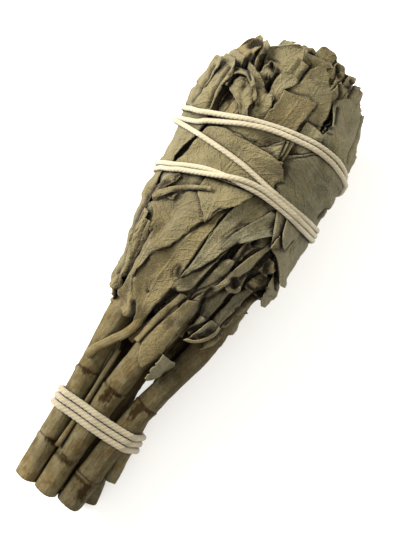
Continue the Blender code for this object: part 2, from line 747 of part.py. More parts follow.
def centre_on_origin():
    """Hangs every piece on one empty and moves it, so that the origin is below the middle of the stick."""
    graph = bpy.context.evaluated_depsgraph_get()
    points = []
    pieces = list(bpy.data.objects)
    for obj in pieces:
        made = obj.evaluated_get(graph).to_mesh()
        points += [v.co.copy() for v in made.vertices]
        obj.evaluated_get(graph).to_mesh_clear()
    middle = [(min(p[k] for p in points) + max(p[k] for p in points)) / 2 for k in (0, 1)]
    low = min(p.z for p in points)
    stick = bpy.data.objects.new("smudge_stick", None)
    bpy.context.scene.collection.objects.link(stick)
    stick.empty_display_size = 0.02
    stick.location = (-middle[0], -middle[1], -low)
    for obj in pieces:
        obj.parent = stick
    bpy.context.view_layer.update()
    return middle


def shade(obj):
    if obj.type == "MESH":
        obj.data.shade_smooth()
        obj.data.set_sharp_from_angle(angle=math.radians(SHARP_FROM))


def main():
    clear_scene()
    leaf = material("dried_leaf", LEAF_GREEN, 0.9)
    bark = material("stem_bark", STEM_BROWN, 0.8)
    cotton = material("cotton_string", COTTON, 0.95)
    head = build_head(leaf)
    stems = build_stems(bark)
    build_strings(head, stems, cotton)
    middle = centre_on_origin()
    for obj in bpy.data.objects:
        shade(obj)
    print("the origin is at along", round(middle[0] / MM, 2), "and side", round(-middle[1] / MM, 2))


main()
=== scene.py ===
# %% [markdown]
# # A sage smudge stick, dressed
# The solids give the stick's true size and place. This file puts thin leaves, twisted string and bark over
# them, in the same frame, and sets the light and the camera. Each step says what the real thing is like
# first. Lengths are in millimetres until a mesh is made, because that is how a bundle like this is measured.

# %% Load the frame
import math

import bpy
import numpy as np
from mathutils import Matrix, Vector


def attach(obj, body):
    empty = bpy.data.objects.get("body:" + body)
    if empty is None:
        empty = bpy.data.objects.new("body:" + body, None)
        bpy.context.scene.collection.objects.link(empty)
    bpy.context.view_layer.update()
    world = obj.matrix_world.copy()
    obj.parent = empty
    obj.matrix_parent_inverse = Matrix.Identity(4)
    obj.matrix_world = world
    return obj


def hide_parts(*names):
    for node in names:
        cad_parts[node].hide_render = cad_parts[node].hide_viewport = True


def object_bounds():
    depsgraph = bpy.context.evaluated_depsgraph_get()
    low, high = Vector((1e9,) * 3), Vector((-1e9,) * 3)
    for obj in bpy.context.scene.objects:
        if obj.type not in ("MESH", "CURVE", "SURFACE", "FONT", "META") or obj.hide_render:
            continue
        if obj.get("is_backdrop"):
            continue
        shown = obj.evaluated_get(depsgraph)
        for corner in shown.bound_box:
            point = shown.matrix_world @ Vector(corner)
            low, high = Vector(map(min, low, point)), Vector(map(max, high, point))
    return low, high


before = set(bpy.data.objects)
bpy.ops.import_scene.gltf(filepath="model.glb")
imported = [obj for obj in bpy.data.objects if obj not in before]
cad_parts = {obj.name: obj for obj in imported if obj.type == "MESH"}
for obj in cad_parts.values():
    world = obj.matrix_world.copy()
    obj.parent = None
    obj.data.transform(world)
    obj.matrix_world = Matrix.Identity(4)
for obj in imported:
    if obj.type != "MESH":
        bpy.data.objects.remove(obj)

solid_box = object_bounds()
for thing in list(bpy.context.selected_objects):
    thing.select_set(False)
print("solids:", sorted(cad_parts))

# %% [markdown]
# ## Millimetres and the three directions
# A place on the stick has three numbers: along it from the cut stems, across it, and up from the table.
# The finished frame has its origin under the middle of the stick, so every place is moved by the same
# amount and made metres at the very end.

# %% From millimetres to the frame
MM = 0.001
MIDDLE_ALONG = 73.18
MIDDLE_ACROSS = 0.14
AXIS_LOW = 7.0
AXIS_RISE = 0.144


def in_frame(along, across, up):
    """Places in the frame, in metres."""
    along, across, up = (np.atleast_1d(np.asarray(part, float)) for part in (along, across, up))
    return np.column_stack((along - MIDDLE_ALONG, across - MIDDLE_ACROSS, up)) * MM


def axis_height(along):
    """Height of the stick's middle line over the table."""
    return AXIS_LOW + AXIS_RISE * np.asarray(along, float)


print("the head's axis rises from", AXIS_LOW, "to", round(float(axis_height(138)), 1), "mm")

# %% [markdown]
# ## Camera
# The stick was photographed from straight above, with its crown to the upper right. The head is thick
# enough to look a little larger than the stems, so the camera stands only 35 cm up, and its lens is
# chosen so that the stick fills the picture as in the photograph.

# %% Camera
EYE_ALONG = 77.5
EYE_SIDE = 2.5
EYE_UP = 352.0
PICTURE_UP = 22.0
PICTURE_TURN = -58.913
LENS = 77.66

camera_data = bpy.data.cameras.new("photo_camera")
camera_data.lens = LENS
camera_data.sensor_width = 36.0
camera_data.clip_start = 0.01
camera_data.clip_end = 10.0
camera = bpy.data.objects.new("photo_camera", camera_data)
camera.location = in_frame(EYE_ALONG, -EYE_SIDE, EYE_UP)[0]
camera.rotation_euler = (0, 0, math.radians(PICTURE_TURN))
bpy.context.scene.collection.objects.link(camera)
bpy.context.scene.camera = camera
print("camera at", [round(c, 4) for c in camera.location])

# %% [markdown]
# ## The head's form
# Under its leaves the head is an oval bud. A list of stations gives its half width, half height and how far
# it leans aside, and a smooth curve joins them. Any place on it is then two numbers, along and turn, like
# a place on a map. Turn is 0 on top and grows towards the side that is at the right in the photograph.

# %% Stations and curves
SKIN = (
    (44, 8.5, 5.5, 0.6), (50, 11.4, 8.0, 0.9), (54, 13.6, 10.2, 0.9), (57, 15.8, 12.4, 1.0),
    (62, 17.7, 15.0, 0.6),
    (72, 18.6, 17.0, 0.0), (82, 21.4, 19.4, 0.8), (92, 22.6, 20.8, 0.9), (104, 23.3, 21.4, 0.5),
    (116, 23.7, 21.6, -0.4), (125, 23.2, 21.0, -1.3), (131, 21.6, 19.4, -1.5), (136, 19.6, 17.4, -1.0),
    (141, 17.2, 15.0, -0.8), (146, 13.5, 11.5, -0.6),
)
CROWN_OVAL = 0.9
CROWN_ASIDE = -1.1


def smooth_through(stations, at):
    """Values at one or more places, on a smooth curve through the stations."""
    rows = np.array(stations, float)
    at = np.clip(np.atleast_1d(np.asarray(at, float)), rows[0, 0], rows[-1, 0])
    i = np.clip(np.searchsorted(rows[:, 0], at, side="right") - 1, 0, len(rows) - 2)
    first, last = rows[i], rows[i + 1]
    before, after = rows[np.maximum(i - 1, 0)], rows[np.minimum(i + 2, len(rows) - 1)]
    span = (last[:, 0] - first[:, 0])[:, None]
    t = (at - first[:, 0])[:, None] / span
    leave = (last - before) / np.maximum(last[:, :1] - before[:, :1], 1e-6) * span
    arrive = (after - first) / np.maximum(after[:, :1] - first[:, :1], 1e-6) * span
    curve = (2 * t**3 - 3 * t**2 + 1) * first + (t**3 - 2 * t**2 + t) * leave
    curve += (3 * t**2 - 2 * t**3) * last + (t**3 - t**2) * arrive
    return curve[:, 1:]


def form_at(along, ring=None):
    """Half width, half height and lean of the head's skin, or of one ring of crown leaves."""
    if ring is None:
        return smooth_through(SKIN, along).T
    along = np.atleast_1d(np.asarray(along, float))
    wide = ring * (1 - 0.007 * np.clip(along - 132, 0, None))
    return wide, wide * CROWN_OVAL, np.full(len(along), CROWN_ASIDE)


def on_head(along, turn, lift, ring=None):
    """Places on the head, lift out from its skin."""
    wide, high, lean = form_at(along, ring)
    a = np.radians(turn)
    across = -lean - (wide + lift) * np.sin(a)
    up = axis_height(along) + (high + lift) * np.cos(a)
    return np.asarray(along, float), across, up


def seen_at(side, along_seen, ring=None, lift=1.5):
    """The place on the head that the photograph shows at that many millimetres to the side and along."""
    side = np.atleast_1d(np.asarray(side, float))
    along_seen = np.atleast_1d(np.asarray(along_seen, float))
    larger = np.full(len(side), 1.05)
    for _ in range(30):
        along = EYE_ALONG + (along_seen - EYE_ALONG) / larger
        across = EYE_SIDE + (side - EYE_SIDE) / larger
        wide, high, lean = form_at(along, ring)
        share = np.clip((across - lean) / (wide + lift), -0.998, 0.998)
        up = axis_height(along) + (high + lift) * np.sqrt(1 - share**2)
        larger = 0.5 * larger + 0.5 * (EYE_UP - PICTURE_UP) / (EYE_UP - up)
    return along, np.degrees(np.arcsin(share))


print("head width at 104 mm:", round(2 * form_at(104)[0][0], 1), "mm")

# %% [markdown]
# ## Unevenness
# Dried leaves are never flat. Two kinds of unevenness are enough for all of them: soft waves, and folds,
# which are waves with a sharp crest. Both come from a table of random heights, with a fixed seed, so that
# each run gives the same bundle.

# %% Waves and folds
TABLE_SIZE = 64
height_table = np.random.default_rng(11).uniform(-1, 1, (TABLE_SIZE, TABLE_SIZE))


def waves(x, y, length, seed):
    """Soft unevenness from -1 to 1, about one wave every length millimetres."""
    x = np.asarray(x, float) / length + seed * 7.31
    y = np.asarray(y, float) / length + seed * 3.77
    i, j = np.floor(x).astype(int), np.floor(y).astype(int)
    s, t = x - i, y - j
    s, t = s * s * (3 - 2 * s), t * t * (3 - 2 * t)
    low = height_table[i % TABLE_SIZE, j % TABLE_SIZE] * (1 - s) + height_table[(i + 1) % TABLE_SIZE,
        j % TABLE_SIZE] * s
    k = (j + 1) % TABLE_SIZE
    high = height_table[i % TABLE_SIZE, k] * (1 - s) + height_table[(i + 1) % TABLE_SIZE, k] * s
    return low * (1 - t) + high * t


def folds(x, y, length, seed):
    """Sharp-crested unevenness from 0 to 1, as in crumpled paper."""
    return 1 - np.abs(waves(x, y, length, seed)) * 1.6


def eased(value):
    """0 to 1 with soft ends."""
    value = np.clip(value, 0, 1)
    return value * value * (3 - 2 * value)


print("unevenness at one place:", round(float(waves(3.0, 4.0, 5.0, 1)), 3))

# %% [markdown]
# ## The way of the string
# The string decides how the leaves lie, so its way comes first. It goes round the head as two close turns
# near the crown, runs down across the front, goes round as two more turns, and ends in a knot at the back.
# On the front its five passes are read off in the photograph, as side and along. Between them the string
# goes round the back, where each pair below is turn and along.

# %% Way of the string round the head
STRING_RADIUS = 0.74
FRONT_PASSES = (
    ((-22, 115.4), (-18, 117.3), (-12, 119.6), (-6, 121.7), (0, 123.3), (6, 124.3), (12, 124.8),
     (17, 124.3), (21, 122.8)),
    ((-22, 112.8), (-18, 115.1), (-12, 117.8), (-6, 120.2), (0, 121.9), (6, 122.7), (12, 123.2),
     (17, 122.6), (20.6, 121.1)),
    ((-21, 110.2), (-12, 110.0), (-4, 109.4), (0, 108.8), (4, 108.0), (8, 107.1), (12, 106.4), (16, 105.7),
     (20, 105.0)),
    ((-21, 98.7), (-16, 101.2), (-12, 102.6), (-8, 103.4), (-4, 103.9), (0, 104.1), (6, 104.4), (12, 103.8),
     (16, 103.0), (20, 101.9)),
    ((-21, 97.2), (-16, 99.5), (-12, 101.0), (-8, 102.4), (-5, 103.6), (0, 105.3), (5, 105.9), (9, 105.6),
     (14, 104.7), (20, 103.4)),
)
ROUND_THE_BACK = (
    ((-200, 118.3), (-150, 117.0), (-90, 113.9)),
    ((90, 117.0), (180, 114.2), (270, 110.5)),
    ((450, 115.6), (540, 112.9), (630, 109.8)),
    ((810, 103.5), (900, 100.2), (990, 96.8)),
    ((1170, 100.4), (1260, 97.8), (1350, 95.0)),
    ((1530, 102.0), (1554, 101.6)),
)
head_string_way = list(ROUND_THE_BACK[0])
for number, (seen, behind) in enumerate(zip(FRONT_PASSES, ROUND_THE_BACK[1:])):
    along_there, turn_there = seen_at(*zip(*seen), lift=2.2)
    head_string_way += [(360 * number + turn, along) for turn, along in zip(turn_there, along_there)]
    head_string_way += behind
way_turns = np.arange(head_string_way[0][0], head_string_way[-1][0], 2.0)
way_along = smooth_through(head_string_way, way_turns)[:, 0]
print("the string goes round the head", round((way_turns[-1] - way_turns[0]) / 360, 1), "times")

# %% [markdown]
# ## A map of heights
# Leaves in a bundle lie on each other. To lay one, we need to know how high the heap already is at each
# place. So the head's skin is unrolled into a map of small cells, each leaf rests on the heights that it
# finds there, and then writes its own height in. Nothing then cuts through what lies under it. A second
# map holds the distance to the string, because leaves are pressed flat under it.

# %% Map of heights
CELL_ALONG = 0.5
CELL_TURN = 1.5
MAP_FIRST = 44.0
MAP_ROWS = 220
MAP_COLUMNS = 240
LEAF_THICK = 0.32
LEAF_GAP = 0.1
# the heap starts this far below the skin, and lower still at the hollow lower right and where many
# leaves pile up
HEAP_START = ((44, 1.0), (56, 1.6), (74, 1.7), (86, 0.8), (104, 0.9), (118, 1.0), (124, 0.6), (134, 0.1),
              (150, 0.4))
HOLLOWS = ((66.0, 12.0, 0.9, 90), (85.0, 9.0, 2.2, 90),
           (116.0, 14.0, 1.7, 5))  # middle along, half length, depth, turn
# the middle stem comes up through the skin here: how far, and how far to the side
STEM_TOP = ((44, 2.9), (47, 3.0), (50, 2.7), (54, 1.7), (57, 0.2), (60, -1.5))
STEM_SIDE = ((44, 0.2), (50, 0.9), (57, 2.1), (67, 3.9))
STEM_WIDTH = 7.0

cell_along = MAP_FIRST + CELL_ALONG * np.arange(MAP_ROWS)
cell_turn = -180 + CELL_TURN * np.arange(MAP_COLUMNS)
mean_radius = np.maximum((form_at(cell_along)[0] + form_at(cell_along)[1]) / 2, 4.0)
heap = -smooth_through(HEAP_START, cell_along) + np.zeros(MAP_COLUMNS)
for middle, half_length, depth, turn in HOLLOWS:
    facing = np.clip(np.cos(np.radians(cell_turn - turn)), 0, 1)
    heap -= depth * np.exp(-((cell_along - middle) / half_length) ** 2)[:, None] * facing
on_stem = smooth_through(STEM_TOP, cell_along) - (mean_radius[:,
    None] * np.radians(cell_turn) - smooth_through(
    STEM_SIDE, cell_along)) ** 2 / STEM_WIDTH
heap = np.maximum(heap, np.where(cell_along[:, None] < STEM_TOP[-1][0], on_stem, heap))
to_string = np.full((MAP_ROWS, MAP_COLUMNS), 99.0)
for turn, along in zip(way_turns, way_along):
    around = (cell_turn - turn + 180) % 360 - 180
    aside = np.radians(around)[None, :] * mean_radius[:, None]
    to_string = np.minimum(to_string, np.hypot(cell_along[:, None] - along, aside))


def softened(table, passes):
    """The map with its steps blurred."""
    for _ in range(passes):
        table = (np.roll(table, 1, 1) + 2 * table + np.roll(table, -1, 1)) / 4
        padded = np.pad(table, ((1, 1), (0, 0)), mode="edge")
        table = (padded[:-2] + 2 * table + padded[2:]) / 4
    return table


def widened(table, passes=1):
    """The map with each height spread to the cells beside it."""
    for _ in range(passes):
        table = np.maximum.reduce([np.roll(table, 1, 1), table, np.roll(table, -1, 1)])
        padded = np.pad(table, ((1, 1), (0, 0)), mode="edge")
        table = np.maximum.reduce([padded[:-2], table, padded[2:]])
    return table


def read_map(table, along, turn):
    """Values of a map at places between its cells."""
    x = np.clip((np.asarray(along) - MAP_FIRST) / CELL_ALONG, 0, MAP_ROWS - 1.001)
    y = ((np.asarray(turn) + 180) / CELL_TURN) % MAP_COLUMNS
    i, j = np.floor(x).astype(int), np.floor(y).astype(int) % MAP_COLUMNS
    s, t = x - i, y - np.floor(y)
    k = (j + 1) % MAP_COLUMNS
    return (table[i, j] * (1 - s) + table[i + 1, j] * s) * (1 - t) + (table[i, k] * (1 - s) + table[i + 1,
        k] * s) * t


def write_map(table, along, turn, height):
    """Raises the cells under these places to their heights."""
    x = (np.asarray(along) - MAP_FIRST) / CELL_ALONG
    y = (np.asarray(turn) + 180) / CELL_TURN
    for di in (0, 1):
        for dj in (0, 1):
            i = np.clip(np.floor(x).astype(int) + di, 0, MAP_ROWS - 1)
            j = (np.floor(y).astype(int) + dj) % MAP_COLUMNS
            np.maximum.at(table, (i, j), height)


print("map of", heap.shape, "cells; the string covers", int((to_string < 1).sum()), "of them")

# %% [markdown]
# ## A leaf blade
# White sage has long, soft leaves with a fine net of veins. Each one here starts as a flat grid, which is
# Blender's own primitive. Its two edges are then led along two lines, and the inner points are spread
# between them. After that the blade gets what drying does to it: lengthwise pleats, crumples, a groove over
# the midrib, edges that lift or roll in, and ragged rims. By hand it would be sculpted. Code does it here,
# because eighty leaves must rest on one another.

# %% Edge lines of a leaf
def line_through(points, count):
    """count places on a smooth line through the points, evenly apart."""
    points = np.array(points, float)
    steps = np.r_[0, np.cumsum(np.hypot(*np.diff(points, axis=0).T) + 1e-6)]
    stations = np.column_stack((steps, points))
    return smooth_through(stations, np.linspace(0, steps[-1], count))


def edges_from_photo(left, right, ring=None, curl=0.0, lift=0.0, count=24):
    """Both edges, given as (side, along) in the photograph, as (along, turn) on the head."""
    lines = []
    lies_on = softened(widened(heap, 2), 5)
    stands_off = lift + curl * np.linspace(0, 1, count) ** 3
    for edge in (left, right):
        seen = line_through(edge, count)
        if ring is not None:
            along, turn = seen_at(seen[:, 0], seen[:, 1], ring, 0.3 + stands_off)
        else:
            lift = 1.5 + stands_off
            for _ in range(3):
                along, turn = seen_at(seen[:, 0], seen[:, 1], ring, lift)
                lift = read_map(lies_on, along, turn) + LEAF_THICK + stands_off
        lines.append(np.column_stack((along, turn)))
    return lines


def edges_of_blade(base, tip, width, bow=0.0, blunt=0.5, foot=0.0, ring=None, count=24):
    """Both edges of a leaf with that base, tip and width. Base and tip are (along, turn)."""
    share = np.linspace(0, 1, count)
    radius = (form_at((base[0] + tip[0]) / 2, ring)[0][0] + form_at((base[0] + tip[0]) / 2, ring)[1][0]) / 2
    ahead = np.array((tip[0] - base[0], math.radians(tip[1] - base[1]) * radius))
    length = np.hypot(*ahead)
    ahead /= length
    half = width / 2 * np.sin(np.pi * np.clip(0.12 + 0.88 * share, 0, 1) ** 0.75) ** blunt
    half = np.maximum(half * (1 - foot * (1 - eased(share / 0.4))), 0.35)
    sideways = bow * np.sin(np.pi * share)
    lines = []
    for sign in (-1, 1):
        aside = sideways + sign * half
        along = base[0] + ahead[0] * length * share - ahead[1] * aside
        local = (form_at(along, ring)[0] + form_at(along, ring)[1]) / 2
        turn = base[1] + np.degrees((ahead[1] * length * share + ahead[0] * aside) / np.maximum(local, 5))
        lines.append(np.column_stack((along, turn)))
    return lines


print("a test edge has", len(edges_of_blade((60, 0), (90, 0), 12)[0]), "places")

# %% [markdown]
# The lay of one leaf is a function, as each leaf goes through the same steps. It keeps what it made in a
# list, because tone and thickness are added only when all leaves are down, and the painted shade on a leaf's
# hidden parts can be worked out.

# %% Lay one leaf
laid = []
group_names = []


def flat_sheet(name, columns, rows):
    """A flat grid two units wide, from Blender's own primitive, with its points' places across it."""
    bpy.ops.mesh.primitive_grid_add(x_subdivisions=columns, y_subdivisions=rows, size=2)
    sheet = bpy.context.object
    sheet.name = name
    sheet.data.name = name
    flat = np.zeros(len(sheet.data.vertices) * 3)
    sheet.data.vertices.foreach_get("co", flat)
    flat = flat.reshape(-1, 3)
    return sheet, (flat[:, 0] + 1) / 2, flat[:, 1]


def set_points(sheet, places):
    """Moves all of a mesh's points to these places, in metres."""
    sheet.data.vertices.foreach_set("co", places.astype(np.float32).ravel())
    sheet.data.update()


def above_table(up):
    """Presses what would go below the table flat against it, the lower the flatter."""
    return np.where(up < 1.2, 1.2 * np.exp((np.minimum(up, 1.2) - 1.2) / 1.2), up)


def lay_leaf(name, group, edges, tone, ring=None, pleats=(0.0, 4.0), crumple=0.3, rolls=(0, 0),
             roll_width=2.2,
             raised=(0.2, 0.2, 0.1, 0.4), lift=0.0, ragged=0.3, cup=0.0, curl=0.0, dive=0.0, seed=1,
             cell=0.8):
    """Lays one leaf between two edge lines, on what lies there already."""
    left, right = edges
    shares = np.linspace(0, 1, len(left))
    middle = (left + right) / 2
    mid_form = form_at(middle[:, 0], ring)
    radius = np.maximum((mid_form[0] + mid_form[1]) / 2, 4)
    half_line = np.hypot((right[:, 0] - left[:, 0]) / 2, np.radians(right[:, 1] - left[:, 1]) / 2 * radius)
    path = np.hypot(np.diff(middle[:, 0]), np.radians(np.diff(middle[:, 1])) * (radius[1:] + radius[:-1]) / 2)
    length = path.sum()
    columns = int(np.clip(length / cell, 6, 70))
    rows = int(np.clip(2 * half_line.max() / cell, 3, 40))
    sheet, a, b = flat_sheet(name, columns, rows)

    half = np.maximum(np.interp(a, shares, half_line), 0.3)
    s = a * length
    side = np.sign(b)
    trim = ragged * (0.6 + 1.1 * waves(s, side * 9, 5.1, seed) + 0.35 * waves(s, side * 5, 1.6, seed + 1))
    trim += ragged * (0.5 - np.abs(waves(s, side * 7, 1.5, seed + 12)) - 0.4 * np.abs(waves(s, side * 7,
        0.8, seed + 13)))
    reach = 1 - np.clip(trim, 0, None) / np.maximum(half, 1.5)
    a_cut = a - a**3 * ragged * (0.8 + waves(b * half, 2.0, 4.2, seed + 2) * 1.8 + waves(b * half, 2.0, 1.5,
        seed + 2) * 0.5) / length
    a_cut = np.clip(a_cut, 0, 1)
    t = b * half * reach
    out = np.zeros(len(a))
    for sign, degrees in zip((-1, 1), rolls):
        if degrees == 0:
            continue
        start = np.maximum(half * reach - roll_width, 0.2)
        angle = math.radians(degrees)
        x = np.clip(sign * t - start, 0, None)
        rolled = (x > 0)
        bend = (half * reach - start) / angle
        t = np.where(rolled, sign * (start + bend * np.sin(x / bend)), t)
        out = np.where(rolled, out + bend * (1 - np.cos(x / bend)), out)

    out += crumple * (folds(s, t, 6.5, seed) - 0.5) + crumple * 0.45 * (folds(s, t, 2.6, seed + 3) - 0.5)
    out += crumple * 0.9 * (folds(s, t, 11.0, seed + 10) - 0.5) + 0.08 * folds(s, t, 1.7, seed + 8)
    if pleats[0]:
        wander = t + 0.9 * waves(s, t, 12.0, seed + 4) + 0.35 * waves(s, t, 3.0, seed + 5)
        out += pleats[0] * (np.abs(np.sin(math.pi * wander / pleats[1])) - 0.6)
    out -= 0.22 * np.exp(-(t / 0.45) ** 2) * eased(half / 4)
    out += cup * b * b + curl * a**3
    edge_wave = 0.6 + 0.9 * waves(s, side * 4 + t * 0.1, 4.5, seed + 6)
    rim_width = 1.4 / np.maximum(half, 1.6)
    out += raised[0] * eased(1 - (1 + b) / rim_width) * edge_wave
    out += raised[1] * eased(1 - (1 - b) / rim_width) * edge_wave
    out += raised[2] * eased((0.2 - a) / 0.2) + raised[3] * eased((a - 0.8) / 0.2) * (0.6 + 0.7 * waves(t,
        1.0, 3.0, seed + 7))

    centre = np.column_stack([np.interp(a_cut, shares, middle[:, k]) for k in (0, 1)])
    half_way = np.column_stack([np.interp(a_cut, shares, (right - left)[:, k] / 2) for k in (0, 1)])
    along = centre[:, 0] + half_way[:, 0] * t / half
    turn = centre[:, 1] + half_way[:, 1] * t / half
    if ring is None:
        near = read_map(to_string, along, turn)
        out = out * (1 - 0.9 * np.exp(-(near / 2.0) ** 2))
        rest = np.maximum(read_map(softened(widened(heap, 2), 5), along, turn),
                          read_map(widened(heap), along, turn) + LEAF_GAP)
        height = np.maximum(rest + LEAF_THICK + lift + out,
                            read_map(widened(heap), along, turn) + LEAF_GAP + LEAF_THICK)
        write_map(heap, along, turn, height)
        height = height - dive * (1 - eased(a / 0.25))
    else:
        height = lift + out
    along_there, across, up = on_head(along, turn, height, ring)
    set_points(sheet, in_frame(along_there, across, above_table(up)))
    laid.append(dict(sheet=sheet, group=group, tone=tone, ring=ring, along=along, turn=turn, height=height,
                     s=s, t=t, a=a, b=b, seed=seed))
    if group not in group_names:
        group_names.append(group)
    return sheet


print("leaf lay ready")

# %% [markdown]
# ## Leaves that fill the bundle
# Most of the bundle is leaves of which only a part shows. They are laid in rows from the stems to the
# crown, all the way round, each with its own length, width, lean and tone from a seeded draw. Near the
# stems they are narrow and pleated, as they are gathered there, and at the shoulder they are wide and
# smooth. Some lie with their tips towards the stems, as in the real bundle, where long leaves were folded
# back before it was tied.

# %% Rows all the way round
draw = np.random.default_rng(5)
ROWS = (
    # base, tip, width, number, first turn, bluntness, pleat height, pleat width, foot, group
    (108, 136, 17, 9, 8, 0.6, 0.12, 6.0, 0.0, "leaves_shoulder"),
    (47, 86, 10, 14, 0, 0.45, 0.5, 3.2, 0.7, "leaves_lower"),
    (90, 122, 19, 9, 25, 0.6, 0.12, 6.0, 0.0, "leaves_middle"),
    (50, 94, 11, 12, 15, 0.5, 0.5, 3.4, 0.7, "leaves_lower"),
    (98, 66, 16, 9, 5, 0.55, 0.25, 5.0, 0.0, "leaves_middle"),
    (114, 141, 15, 10, 0, 0.55, 0.15, 5.0, 0.0, "leaves_shoulder"),
)
OPEN_FRONT = 64.0  # degrees to each side of the top where no filling leaf starts among the stems
OPEN_CROWN = 78.0  # degrees to each side of the top where the crown is given leaf by leaf
count = 0
for base, tip, width, number, first, blunt, pleat, pleat_width, foot, group in ROWS:
    for k in range(number):
        count += 1
        turn = first + 360 * k / number + draw.uniform(-7, 7)
        turn = (turn + 180) % 360 - 180
        lean = draw.uniform(-14, 14)
        start = base + draw.uniform(-3, 3)
        end = tip + draw.uniform(-4, 2.5)
        if foot and abs(turn) < OPEN_FRONT:
            start += 13
        if abs(turn) < OPEN_CROWN:
            end = min(end, 126.5)
        edges = edges_of_blade((start, turn - lean / 2), (end, turn + lean / 2),
                               width * draw.uniform(0.85, 1.15),
                               bow=draw.uniform(-1.5, 1.5), blunt=blunt, foot=foot)
        tone = (draw.uniform(0.1, 0.8), draw.uniform(-0.6, 0.4))
        lay_leaf(f"leaf_{count}", group, edges, tone, pleats=(pleat, pleat_width),
                 crumple=draw.uniform(0.15, 0.4),
                 raised=draw.uniform(0.1, 0.6, 4), dive=2.5 * foot, seed=100 + count, cell=0.9)
print("leaves laid:", count, "highest place of the heap:", round(float(heap.max()), 2), "mm")

# %% [markdown]
# ## Leaves of the front
# The leaves that face the camera are known one by one from the photograph. Each is given by its two edges,
# read off in millimetres to the side and along, from its base to its tip, and laid in the order in which
# the real ones cover each other. First come those below the lower string, then those at the crown's
# shoulder, and last the ones between the strings, which cover the ends of both. Edges that roll in are
# given as degrees of turn.

